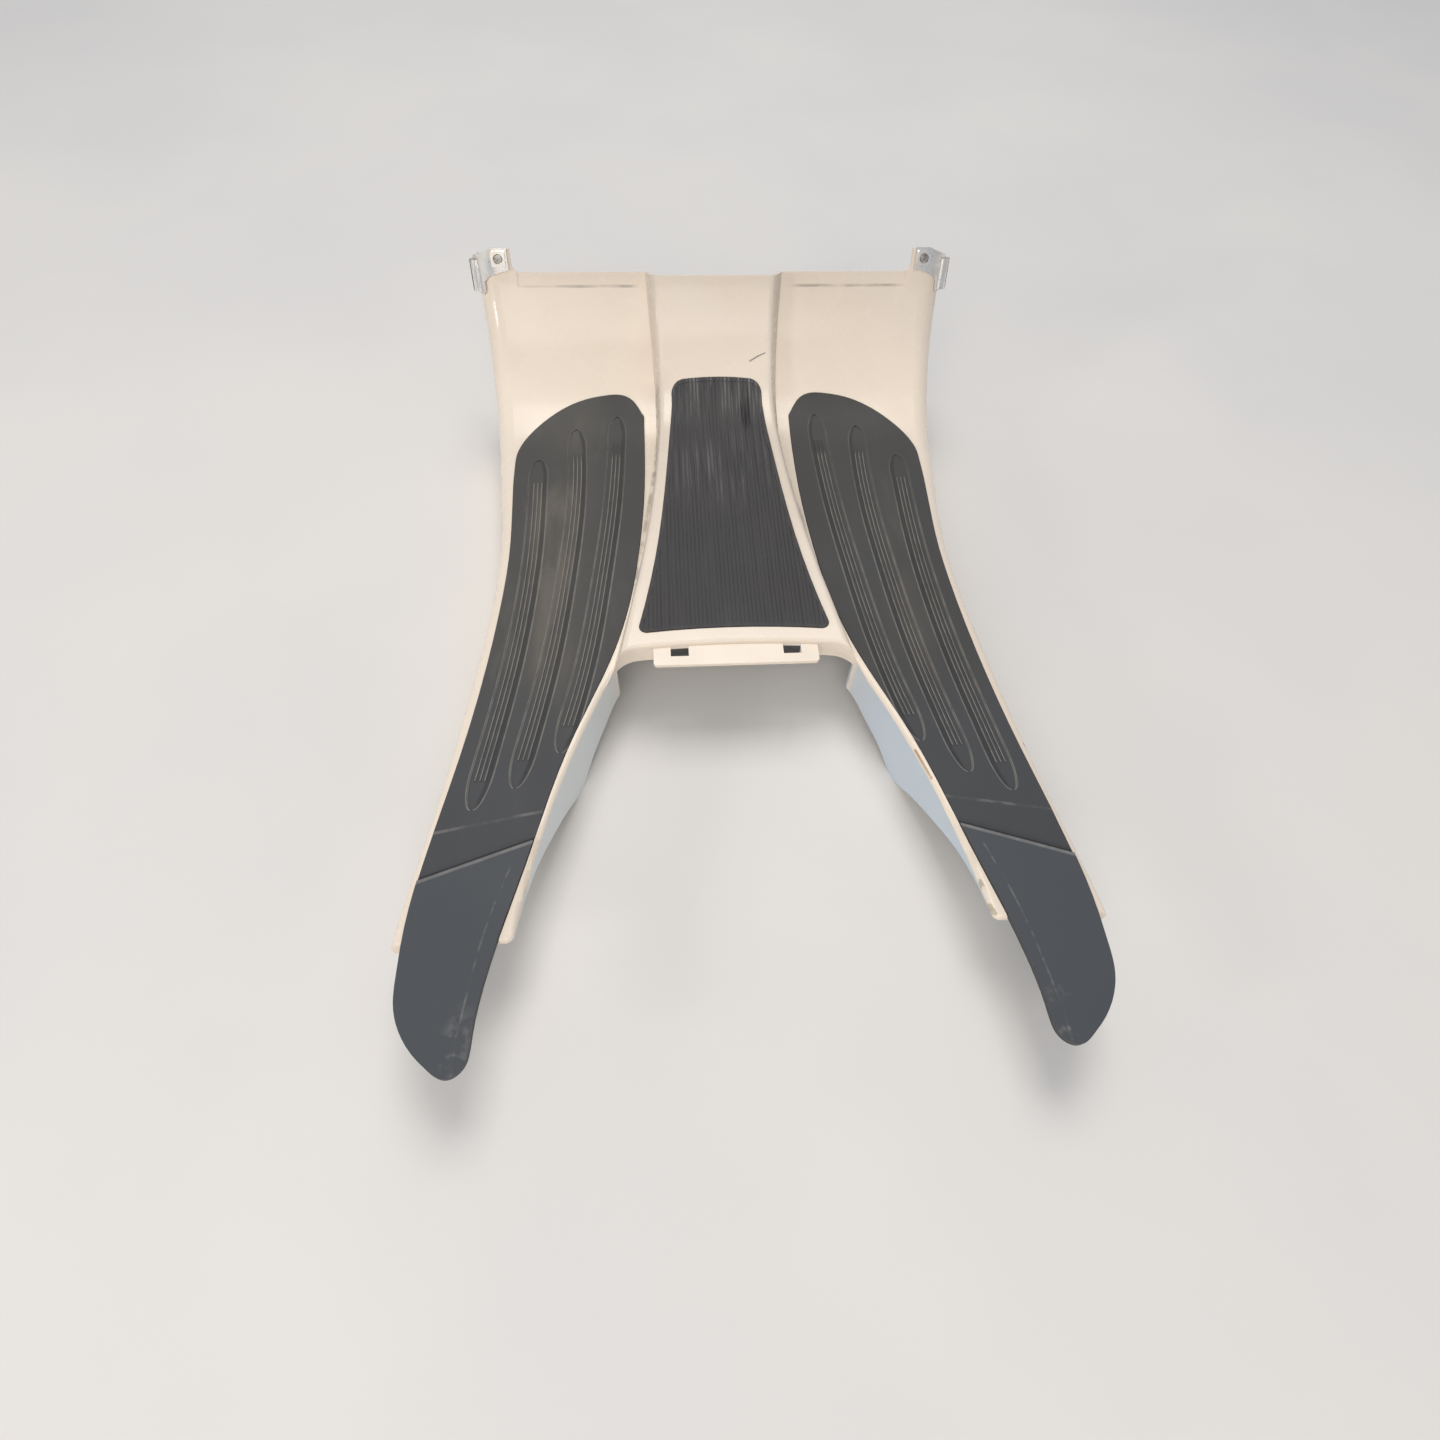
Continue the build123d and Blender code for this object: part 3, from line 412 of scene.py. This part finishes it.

# %% [markdown]
# Dust beside the tunnel
#
# A valley runs where the tunnel meets the floor, and shoes never reach it, so dust lies there as a thin
# film. The same wide grey band is also painted shade, for the soft shade of the valley's wide fillet. It is
# a fade on the distance from the valley's line, and so it bends with the valley. A band, which rises, stays
# and falls again, ends it at the front and the rear.

# %% Dust film and painted shade
VALLEY = [(10, 84.5), (66, 76), (183, 61), (262, 57.5)]
VALLEY_REACH = (0.0, 0.02, 0.25, 0.275)
FILM_WIDTH = (0.024, 0.002)
FILM_AND_SHADE_GREY = (0.52, 0.46, 0.39)


def beside(tree, value, line):
    """Distance between a value and a line, whichever side it is on."""
    return math_node(tree, "ABSOLUTE", math_node(tree, "SUBTRACT", value, line))


def band(tree, value, start, full, last, gone):
    """Rises between start and full, stays at 1 until last, and is back at 0 when gone."""
    return times(tree, fade(tree, value, start, full), fade(tree, value, gone, last))


valley = beside(tree, side, curve_x(tree, y, VALLEY))
reach = band(tree, y, *VALLEY_REACH)
film_and_shade = times(tree, fade(tree, valley, *FILM_WIDTH), reach)
film_and_shade = times(tree, film_and_shade, fade(tree, cloud, 0.35, 0.7, low=0.10, high=0.40))
# The grey is dust together with painted shade of the valley.
cream = mix_colour(tree, film_and_shade, cream, FILM_AND_SHADE_GREY)
print("valley from", VALLEY[0], "to", VALLEY[-1], "mm")

# %% [markdown]
# Sides of the tunnel
#
# The tunnel's sides are painted greyer than its top, as painted shade of steep faces that turn away from the
# light, with some dust. They are found by the direction their faces look in, so no line has to be drawn for
# them.

# %% Tunnel sides
STEEP = (0.2, 0.6)
TUNNEL_SIDE = (0.1, 0.09)
TUNNEL_START = (0.0, 0.02)
SLOPE_SHADE_GREY = (0.58, 0.52, 0.45)

steep = fade(tree, math_node(tree, "ABSOLUTE", face_x), *STEEP)
slope_shade = times(tree, steep, fade(tree, side, *TUNNEL_SIDE), fade(tree, y, *TUNNEL_START))
slope_shade = times(tree, slope_shade, fade(tree, fleck, 0.3, 0.7, low=0.38, high=0.52))
# Painted shade on the steep sides, with a little dust.
cream = mix_colour(tree, slope_shade, cream, SLOPE_SHADE_GREY)
print("tunnel sides greyed within", TUNNEL_SIDE[0], "m of the middle line")

# %% [markdown]
# Dirt along the step
#
# Near the top edge the moulding has a small step, and dirt catches under it in dashes. Stretched noise
# breaks the line up along X. The mask also asks that the face looks to the rear, because the step's
# other side, at the back of the panel, is clean.

# %% Step
STEP_HEIGHT = 0.1466
STEP_WIDTH = (0.0014, 0.0004)
STEP_START = (0.29, 0.31)
STEP_SPAN = (0.070, 0.085, 0.175, 0.190)
STEP_FACING = (0.1, -0.2)
STEP_DIRT = (0.22, 0.20, 0.18)

broken = noise(tree, coords, scale=1.0, detail=4.0, stretch=(30.0, 90.0, 90.0))
step = times(tree, fade(tree, beside(tree, z, STEP_HEIGHT), *STEP_WIDTH), fade(tree, y, *STEP_START))
step = times(tree, step, band(tree, side, *STEP_SPAN), fade(tree, face_y, *STEP_FACING))
step = times(tree, step, fade(tree, broken, 0.38, 0.66, low=0.10, high=0.60))
cream = mix_colour(tree, step, cream, STEP_DIRT)
print("step dirt at", STEP_HEIGHT, "m above the floor")

# %% [markdown]
# Dirt in the bottom of the valley
#
# Along the very bottom of the valley runs a broken dark line, where dirt has packed tight. It uses the same
# distance as the dust film, much narrower, and the flecks break it up.

# %% Dirt line
LINE_WIDTH = (0.0030, 0.0006)
LINE_DARK = (0.16, 0.14, 0.12)

line = times(tree, fade(tree, valley, *LINE_WIDTH), reach)
line = times(tree, line, fade(tree, fleck, 0.42, 0.62, low=0.12, high=0.55))
cream = mix_colour(tree, line, cream, LINE_DARK)
print("dirt line", 2000 * LINE_WIDTH[0], "mm wide at most")

# %% [markdown]
# Shade in the tab slots
#
# Two slots in the rear ledge take the tabs of the next panel. They are real openings, but soft lamps over a
# pale floor fill them with light, so their inside is darkened as well.

# %% Tab slots
SLOT_SIDE = 0.0455
SLOT_PLACE = -0.0555
SLOT_HALF_WIDTH = (0.0085, 0.0075)
SLOT_HALF_LENGTH = (0.009, 0.008)
SLOT_TOP = (0.0702, 0.0692)
SLOT_DARK = (0.060, 0.058, 0.056)

slot = fade(tree, beside(tree, side, SLOT_SIDE), *SLOT_HALF_WIDTH)
slot = times(tree, slot, fade(tree, beside(tree, y, SLOT_PLACE), *SLOT_HALF_LENGTH))
slot = times(tree, slot, fade(tree, z, *SLOT_TOP))
cream = mix_colour(tree, slot, cream, SLOT_DARK)
print("slots at", SLOT_SIDE, "m from the middle line")

# %% [markdown]
# Spots
#
# Single marks come last, over the dirt. Wear isn't spread evenly: it has places. A spot is a distance from
# a point. Marks could be painted on an image, but as distances they stay sharp however close the camera
# comes.

# %% Spots
SPOTS = [
    ((-0.0637, 0.2117, 0.0668), 0.0022),
    ((0.2195, -0.1448, 0.059), 0.0020),
    ((0.2460, -0.2841, 0.050), 0.0026),
    ((-0.2449, -0.2867, 0.047), 0.0022),
]
MARK_DARK = (0.15, 0.13, 0.12)
MARK_SHARE = 0.75


def away_from(tree, coords, place):
    """Distance from a place."""
    made = add_node(tree, "ShaderNodeVectorMath", {0: coords, 1: place}, operation="DISTANCE")
    return made.outputs["Value"]


for place, r in SPOTS:
    spot = fade(tree, away_from(tree, coords, place), r * 1.4, r * 0.6)
    cream = mix_colour(tree, times(tree, spot, MARK_SHARE), cream, MARK_DARK)
print(len(SPOTS), "spots")

# %% [markdown]
# Scratches
#
# A scratch is a distance from a straight line between two points. The dot product tells how far along the
# line a place lies, and clamping that share keeps the scratch from running on past its ends.

# %% Scratches
SCRATCHES = [
    ((0.0341, 0.2733, 0.1024), (0.0422, 0.2769, 0.1053), 0.0007),
    ((0.0422, 0.2769, 0.1053), (0.0491, 0.2790, 0.1071), 0.0006),
]


def stroke(tree, coords, start, end, half):
    """A straight mark between two places, with soft sides."""
    run = Vector(end) - Vector(start)
    offset = add_node(tree, "ShaderNodeVectorMath", {0: coords, 1: start}, operation="SUBTRACT").outputs[0]
    dot = add_node(tree, "ShaderNodeVectorMath", {0: offset, 1: run}, operation="DOT_PRODUCT")
    share = math_node(tree, "DIVIDE", dot.outputs["Value"], run.length_squared, clamp=True)
    near = add_node(tree, "ShaderNodeVectorMath", {0: run, "Scale": share}, operation="SCALE").outputs[0]
    away = add_node(tree, "ShaderNodeVectorMath", {0: offset, 1: near}, operation="DISTANCE")
    return fade(tree, away.outputs["Value"], half * 1.5, half * 0.5)


for start, end, half in SCRATCHES:
    scratch = stroke(tree, coords, start, end, half)
    cream = mix_colour(tree, times(tree, scratch, MARK_SHARE), cream, MARK_DARK)
print(len(SCRATCHES), "scratches")

# %% [markdown]
# Stains and chips
#
# A rust-brown stain runs along the right inner rim, and the end of the right arm is chipped. A round chip
# would look like a sticker, so its distance is shaken by noise, and its border wanders.

# %% Stains and chips
STAINS = [
    ((0.1320, -0.1475, 0.062), (0.1398, -0.1716, 0.062), 0.0015),
    ((0.1446, -0.1945, 0.062), (0.1496, -0.2139, 0.062), 0.0013),
]
CHIPS = [
    ((0.1578, -0.253, 0.062), 0.006),
    ((0.1587, -0.271, 0.062), 0.008),
    ((0.1610, -0.2762, 0.062), 0.006),
]
STAIN_RUST = (0.34, 0.18, 0.08)
CHIP_OCHRE = (0.46, 0.40, 0.29)
CHIP_SHAKE = 0.02

uneven = fade(tree, fleck, 0.35, 0.55, low=0.4, high=0.9)
for start, end, half in STAINS:
    stain = times(tree, stroke(tree, coords, start, end, half), uneven)
    cream = mix_colour(tree, stain, cream, STAIN_RUST)
shake = times(tree, math_node(tree, "SUBTRACT", fleck, 0.5), CHIP_SHAKE)
for place, r in CHIPS:
    ragged = math_node(tree, "ADD", away_from(tree, coords, place), shake)
    cream = mix_colour(tree, fade(tree, ragged, r * 0.9, r * 0.7, 0.0, 0.85), cream, CHIP_OCHRE)
print(len(STAINS), "stains and", len(CHIPS), "chips")

# %% [markdown]
# Gloss of the paint
#
# Gloss paint is smooth with a thin clear top, but an old one is hazed by fine wear, so the roughness
# drifts with noise and the bare plastic is duller. The fine pebbling of a sprayed coat is far too small
# to model, and a faint bump gives it.

# %% Paint gloss
PLASTIC_DULLER = 0.25
PEBBLE_SCALE = 520.0


def bump(tree, shader, height, strength, distance):
    """Feeds a height into the shader's normal."""
    made = add_node(tree, "ShaderNodeBump", {"Height": height, "Strength": strength, "Distance": distance})
    fill(tree, shader, {"Normal": made.outputs["Normal"]})


def dress(look, names):
    """Gives CAD nodes their material."""
    for name in names:
        nodes[name].data.materials.clear()
        nodes[name].data.materials.append(look)
    print(look.name, "on", names, "with", len(look.node_tree.nodes), "nodes")


gloss = fade(tree, noise(tree, coords, scale=30.0, detail=6.0), 0.3, 0.8, low=0.20, high=0.36)
gloss = math_node(tree, "ADD", gloss, times(tree, bare, PLASTIC_DULLER))
fill(tree, shader, {"Base Color": cream, "Roughness": gloss, "Specular IOR Level": 0.30})
fill(tree, shader, {"Coat Weight": 0.12, "Coat Roughness": 0.12})
bump(tree, shader, noise(tree, coords, scale=PEBBLE_SCALE, detail=2.0), strength=0.05, distance=0.0003)
dress(panel_paint, ["floor_panel"])

# %% [markdown]
# Sunk pads of the side mats
#
# Each side mat is moulded in a steel tool with three long sunk pads. Dust settles on their rims and on the
# ribs inside, the rims also carry a painted highlight of their edges, and a strip beside each inner wall
# carries painted shade, so these have to be found by the material. One helper measures how deep a point lies
# inside a pad, from the same spine and the same tapering ends that the mould follows. Faces could be picked
# by hand instead, but a dusty rim has no faces of its own.

# %% Pads
PADS = [
    [(-185, 199.8), (-52, 179.4), (60, 171.3), (182, 172.5)],
    [(-168.5, 170), (-53, 149.6), (60, 138.6), (140, 135.4), (222, 138.3)],
    [(-140, 138.3), (-54, 120.6), (30, 110.2), (126, 101.8), (236, 98.2)],
]
PAD_HALF = 0.0086
PAD_REAR_TAPER = 0.032
PAD_FRONT_TAPER = 0.024
FAR_OUTSIDE = 0.01


def inside_pad(tree, side, y, spine):
    """How deep a point lies inside a sunk pad, negative outside, and how far it is off the spine."""
    rear = spine[0][0] / 1000
    front = spine[-1][0] / 1000
    from_rear = fade(tree, y, rear, rear + PAD_REAR_TAPER, kind="LINEAR")
    from_front = fade(tree, y, front, front - PAD_FRONT_TAPER, kind="LINEAR")
    gone = math_node(tree, "MINIMUM", from_rear, from_front)
    left = math_node(tree, "POWER", math_node(tree, "SUBTRACT", 1.0, gone), 2.0)
    round_end = math_node(tree, "SQRT", math_node(tree, "SUBTRACT", 1.0, left))
    half = math_node(tree, "MULTIPLY", round_end, PAD_HALF)
    off = math_node(tree, "SUBTRACT", side, curve_x(tree, y, spine))
    depth = math_node(tree, "SUBTRACT", half, math_node(tree, "ABSOLUTE", off))
    beyond = math_node(tree, "MULTIPLY", math_node(tree, "LESS_THAN", gone, 0.01), FAR_OUTSIDE)
    return math_node(tree, "SUBTRACT", depth, beyond), off


mat_rubber, tree, shader = new_look("charcoal_rubber")
coords, x, side, y, z = on_board(tree)
pads = [inside_pad(tree, side, y, spine) for spine in PADS]
print(len(pads), "pads measured with", len(tree.nodes), "nodes")

# %% [markdown]
# Rims, ribs and the shaded wall
#
# From the pads' depth come three masks: the rim, where the depth is near zero, the tops of the ribs, which
# stand higher than the pad's bottom, and a strip below the wall on the inner side, which gets painted shade.
# The deepest of the three pads counts at each place, so one mask serves all of them.

# %% Pad masks
WALL_STRIP = (0.0, 0.0004, 0.0036, 0.0046)
INNER_SIDE = (0.0, -0.004)
RIM_WIDTH = (0.0011, 0.0003)
WELL_INSIDE = (0.0, 0.0006)
RIB_TOP = (0.0624, 0.0627)
RIB_END = (0.190, 0.180)

depth = -FAR_OUTSIDE
shaded = 0.0
for deep, off in pads:
    wall_shade = times(tree, band(tree, deep, *WALL_STRIP), fade(tree, off, *INNER_SIDE))
    depth = math_node(tree, "MAXIMUM", deep, depth)
    shaded = math_node(tree, "MAXIMUM", wall_shade, shaded)
rim = fade(tree, math_node(tree, "ABSOLUTE", depth), *RIM_WIDTH)
rib = times(tree, fade(tree, depth, *WELL_INSIDE), fade(tree, z, *RIB_TOP), fade(tree, y, *RIB_END))
print("rims", 2000 * RIM_WIDTH[0], "mm wide at most")

# %% [markdown]
# Charcoal rubber
#
# Old rubber is a dark grey, never black, with dust rubbed into it in smears along the board. The right mat
# and the inner borders are cleaner, and towards the rear the grey turns cooler. Each of these is one mix
# over the last, which is easy to follow and to change later.

# %% Charcoal
CHARCOAL = (0.058, 0.056, 0.053)
DUSTY_CHARCOAL = (0.080, 0.075, 0.067)
SMEAR_GREY = (0.115, 0.108, 0.095)
CLEAN_CHARCOAL = (0.044, 0.043, 0.043)
COOL_CHARCOAL = (0.052, 0.055, 0.060)
LEFT_TO_RIGHT = (-0.05, 0.05)
INNER_BORDER = (0.130, 0.100)
COOL_REACH = (-0.02, -0.16)

patch = noise(tree, coords, scale=11.0, detail=6.0)
smear = noise(tree, coords, scale=1.0, detail=5.0, stretch=(55.0, 14.0, 30.0))
right_hand = fade(tree, x, *LEFT_TO_RIGHT, low=0.0, high=0.75)
clean = math_node(tree, "MAXIMUM", right_hand, fade(tree, side, *INNER_BORDER, low=0.0, high=0.6))
rubber = mix_colour(tree, fade(tree, patch, 0.35, 0.7), CHARCOAL, DUSTY_CHARCOAL)
rubber = mix_colour(tree, fade(tree, smear, 0.5, 0.75, low=0.0, high=0.5), rubber, SMEAR_GREY)
rubber = mix_colour(tree, clean, rubber, CLEAN_CHARCOAL)
rubber = mix_colour(tree, fade(tree, y, *COOL_REACH, low=0.0, high=0.8), rubber, COOL_CHARCOAL)
print("charcoal mixed with", len(tree.nodes), "nodes so far")

# %% [markdown]
# Passenger pads and brown dust
#
# Behind the crease, each mat rises to a smooth pad for a passenger's foot, painted a little bluer than the
# rest as a painted sheen of the sky.
# It is found by its height. In front of it, brown dust lies between the pads where the rider's shoes
# stand, more on the left. A band in X and a band in Y make a soft rectangle for it.

# %% Passenger pad and dust
BEHIND_RAMP = (-0.185, -0.195)
PAD_TOP = (0.0634, 0.0639)
PASSENGER_SKY_SHEEN = (0.062, 0.068, 0.076)
SHOE_SPAN = (0.125, 0.145, 0.165, 0.178)
SHOE_REACH = (-0.10, -0.04, 0.12, 0.17)
SHOE_BROWN = (0.145, 0.125, 0.100)

behind = fade(tree, y, *BEHIND_RAMP)
on_pad = times(tree, fade(tree, z, *PAD_TOP), behind)
# The pad's bluer grey is a painted sheen of the sky.
rubber = mix_colour(tree, on_pad, rubber, PASSENGER_SKY_SHEEN)
brown = times(tree, band(tree, side, *SHOE_SPAN), band(tree, y, *SHOE_REACH))
brown = times(tree, brown, fade(tree, smear, 0.35, 0.65, low=0.1, high=0.6))
brown = times(tree, brown, fade(tree, x, *LEFT_TO_RIGHT, low=1.0, high=0.3))
rubber = mix_colour(tree, brown, rubber, SHOE_BROWN)
print("passenger pads above", PAD_TOP[0], "m")

# %% [markdown]
# Shade, dust and highlights on the pads
#
# First the strip beside each inner wall is darkened as painted shade. The moulded lines then read as pale
# lines on charcoal: on the ribs it is dust, which stays where a shoe's sole scrapes it off, and on the rims
# it is dust with a painted highlight of their edges. They are broken by fine noise, and the rims are fainter
# towards the front, where feet rest less.

# %% Pad shade, dust and highlights
WALL_SHADE_DARK = (0.020, 0.020, 0.021)
RIM_DUST_AND_HIGHLIGHT = (0.25, 0.235, 0.21)
RIB_DUST = (0.24, 0.225, 0.20)
FRONT_FAINTER = (0.05, 0.17)

fine = noise(tree, coords, scale=85.0, detail=5.0)
speckle = fade(tree, fine, 0.32, 0.62, low=0.55, high=0.9)
faint = fade(tree, y, *FRONT_FAINTER, low=0.75, high=0.3)
# Painted shade beside each pad's inner wall.
rubber = mix_colour(tree, times(tree, shaded, 0.6), rubber, WALL_SHADE_DARK)
# Rims: dust with a painted highlight of their edges.
rubber = mix_colour(tree, times(tree, rim, speckle, faint), rubber, RIM_DUST_AND_HIGHLIGHT)
rubber = mix_colour(tree, times(tree, rib, speckle, 0.8), rubber, RIB_DUST)
print("dust on rims and ribs, with", len(tree.nodes), "nodes so far")

# %% [markdown]
# Crease
#
# The crease before the passenger pad is a valley, darkened as painted shade, with a pale lip that is a
# painted highlight of its rounded edge and dusty as well. It is straight and lies askew, so the distance
# from a line through two places finds it. A sign tells the two sides apart, which puts the painted shade on
# one side and the highlight and dust on the other.

# %% Crease
CREASE = [(250.6, -243.5), (135.4, -203.5)]
CREASE_OFF = 0.0012
SHADE_WIDTH = (0.0022, 0.0008)
LIP_WIDTH = (0.0018, 0.0006)
CREASE_DARK = (0.020, 0.020, 0.022)


def past_line(tree, side, y, start, end):
    """Signed distance from the line through two (X, Y) places in millimetres, positive to its left."""
    run = (Vector(end) - Vector(start)).normalized()
    first = math_node(tree, "MULTIPLY", side, -run.y)
    both = add_node(tree, "ShaderNodeMath", {0: y, 1: run.x, 2: first}, operation="MULTIPLY_ADD").outputs[0]
    return math_node(tree, "SUBTRACT", both, (start[1] * run.x - start[0] * run.y) / 1000)


crease = past_line(tree, side, y, *CREASE)
shade = times(tree, fade(tree, beside(tree, crease, -CREASE_OFF), *SHADE_WIDTH), behind)
# The lip: a painted highlight of the rounded edge, with dust.
lip_highlight_and_dust = times(tree, fade(tree, beside(tree, crease, CREASE_OFF), *LIP_WIDTH), on_pad, speckle, 0.7)
# Painted shade in the crease's valley.
rubber = mix_colour(tree, shade, rubber, CREASE_DARK)
print("crease from", CREASE[0], "to", CREASE[1], "mm")

# %% [markdown]
# Foot of the ramp
#
# Where the mat begins to rise to the passenger pad, a faint line of dust shows. It is found as the crease
# is, from two places, and is mixed in below with the other pale marks.

# %% Ramp
RAMP = [(238.2, -204.0), (151.8, -188.0)]
RAMP_WIDTH = (0.0016, 0.0005)
RAMP_REACH = (-0.16, -0.18)

ramp = past_line(tree, side, y, *RAMP)
foot = times(tree, fade(tree, beside(tree, ramp, 0.0), *RAMP_WIDTH), fade(tree, y, *RAMP_REACH))
foot = times(tree, foot, fade(tree, fine, 0.4, 0.6, low=0.05, high=0.4))
print("ramp from", RAMP[0], "to", RAMP[1], "mm")

# %% [markdown]
# Scuffs on the passenger pads
#
# A worn line runs along each passenger pad, and its tip is scuffed. The line bends, so it is a curve over Y
# again, and fine noise leaves only dashes of it. All pale marks share one pale colour, dust and wear, which
# on the crease's lip is also a painted highlight, so one loop mixes them in.

# %% Passenger pad scuffs
BORDER = [(-344, 193.5), (-292, 185.5), (-260, 178), (-226, 167)]
BORDER_WIDTH = (0.0010, 0.0004)
BORDER_REACH = (-0.222, -0.228)
TIP_REACH = (-0.315, -0.345)
TIP_WIDTH = (0.012, 0.003)
PALE_DUST_AND_HIGHLIGHT = (0.26, 0.25, 0.235)

border = beside(tree, side, curve_x(tree, y, BORDER))
dashes = times(tree, fade(tree, border, *BORDER_WIDTH), on_pad, fade(tree, y, *BORDER_REACH))
dashes = times(tree, dashes, fade(tree, fine, 0.45, 0.62, low=0.02, high=0.35))
tip = times(tree, on_pad, fade(tree, y, *TIP_REACH), fade(tree, border, *TIP_WIDTH))
tip = times(tree, tip, fade(tree, fine, 0.50, 0.64, low=0.0, high=0.35))
pale_marks = (lip_highlight_and_dust, foot, dashes, tip)
for share in pale_marks:
    rubber = mix_colour(tree, share, rubber, PALE_DUST_AND_HIGHLIGHT)
print(len(pale_marks), "pale marks on each mat")

# %% [markdown]
# Skin of the rubber
#
# Rubber from an etched tool is matt with a fine grain. The roughness drifts with the same patches as the
# dust, since dust is duller than rubber, and a small bump gives the grain.

# %% Side mats
GRAIN_SCALE = 1100.0

dull = fade(tree, patch, 0.3, 0.7, low=0.48, high=0.62)
fill(tree, shader, {"Base Color": rubber, "Roughness": dull, "Specular IOR Level": 0.34})
bump(tree, shader, noise(tree, coords, scale=GRAIN_SCALE, detail=2.0), strength=0.25, distance=0.0003)
dress(mat_rubber, ["left_mat", "right_mat"])

# %% [markdown]
# Ridges of the centre mat
#
# The centre mat has fine ridges along its length. The mould fixes their spacing, so a ping-pong of X, which
# runs to and fro between two values, finds the ridge tops. Only these catch scuffs, in streaks along the
# board, and more of them where a foot swings over the tunnel.

# %% Ridge scuffs
RIDGE_HALF_PITCH = 0.0017
RIDGE_TOP = (0.0006, 0.0010)
SCUFF_PLACE = (0.0, 0.155, 0.078)
SCUFF_REACH = (0.075, 0.015)
FRONT_END = (0.19, 0.25)

centre_rubber, tree, shader = new_look("ribbed_rubber")
coords, _, side, y, _ = on_board(tree)
ridge = fade(tree, math_node(tree, "PINGPONG", side, RIDGE_HALF_PITCH), *RIDGE_TOP)
streak = noise(tree, coords, scale=1.0, detail=5.0, roughness=0.6, stretch=(260.0, 10.0, 40.0))
scuffed = fade(tree, away_from(tree, coords, SCUFF_PLACE), *SCUFF_REACH, low=0.15, high=0.85)
most_worn = math_node(tree, "MAXIMUM", scuffed, fade(tree, y, *FRONT_END))
worn = times(tree, ridge, fade(tree, streak, 0.42, 0.70), most_worn)
print("ridges every", 2000 * RIDGE_HALF_PITCH, "mm")

# %% [markdown]
# Rubber of the centre mat
#
# It is the same rubber as the side mats, but it lies high and is wiped clean, so it is darker and has no
# film of dust. It gets a material of its own, as the pads' masks have no use here.

# %% Centre mat
DARK_RUBBER = (0.042, 0.041, 0.044)
GREY_RUBBER = (0.056, 0.053, 0.053)
WORN_RUBBER = (0.19, 0.185, 0.175)
CENTRE_GRAIN_SCALE = 900.0

cloud = noise(tree, coords, scale=16.0, detail=5.0)
ribbed = mix_colour(tree, fade(tree, cloud, 0.35, 0.7), DARK_RUBBER, GREY_RUBBER)
ribbed = mix_colour(tree, worn, ribbed, WORN_RUBBER)
dull = fade(tree, cloud, 0.3, 0.7, low=0.5, high=0.64)
fill(tree, shader, {"Base Color": ribbed, "Roughness": dull, "Specular IOR Level": 0.30})
grain = noise(tree, coords, scale=CENTRE_GRAIN_SCALE, detail=2.0)
bump(tree, shader, grain, strength=0.25, distance=0.0003)
dress(centre_rubber, ["center_mat"])

# %% [markdown]
# Chrome of the trim caps
#
# The trim caps are thin zinc castings with a chrome skin, bright but pitted where the skin has let rust
# through. Chrome shows only what it mirrors, so its look comes from the sky and the lamps. A mirror
# without flaws would look new, so haze roughens it in places and dark pits break it.

# %% Chrome
CHROME = (0.92, 0.89, 0.85)
HAZED_CHROME = (0.76, 0.71, 0.64)
PIT_BROWN = (0.26, 0.22, 0.18)

chrome, tree, shader = new_look("bright_chrome")
coords = places(tree)
pits = noise(tree, coords, scale=500.0, detail=3.0)
haze = noise(tree, coords, scale=60.0, detail=4.0)
bright = mix_colour(tree, fade(tree, haze, 0.4, 0.7), CHROME, HAZED_CHROME)
bright = mix_colour(tree, fade(tree, pits, 0.62, 0.76), bright, PIT_BROWN)
misty = fade(tree, haze, 0.35, 0.8, low=0.22, high=0.42)
fill(tree, shader, {"Base Color": bright, "Metallic": 1.0, "Roughness": misty})
bump(tree, shader, pits, strength=0.12, distance=0.0002)
dress(chrome, ["left_trim_cap", "right_trim_cap"])

# %% [markdown]
# Plated steel of screws and nuts
#
# The cap screws and the clip nuts behind the ears are plated steel gone dull, rougher and browner than the
# chrome. They are so small that one noise is enough for colour, roughness and bump.

# %% Plated steel
PLATING = (0.50, 0.49, 0.46)
PLATING_RUST = (0.22, 0.18, 0.14)

steel, tree, shader = new_look("plated_steel")
rust = noise(tree, places(tree), scale=300.0, detail=4.0)
plated = mix_colour(tree, fade(tree, rust, 0.4, 0.7), PLATING, PLATING_RUST)
rough = fade(tree, rust, 0.3, 0.7, low=0.28, high=0.5)
fill(tree, shader, {"Base Color": plated, "Metallic": 1.0, "Roughness": rough})
bump(tree, shader, rust, strength=0.2, distance=0.0002)
dress(steel, ["cap_screws", "clip_nuts"])

# %% [markdown]
# Finish
#
# The view layer is updated once more, so every change above is in place.

# %% Finish
bpy.context.view_layer.update()
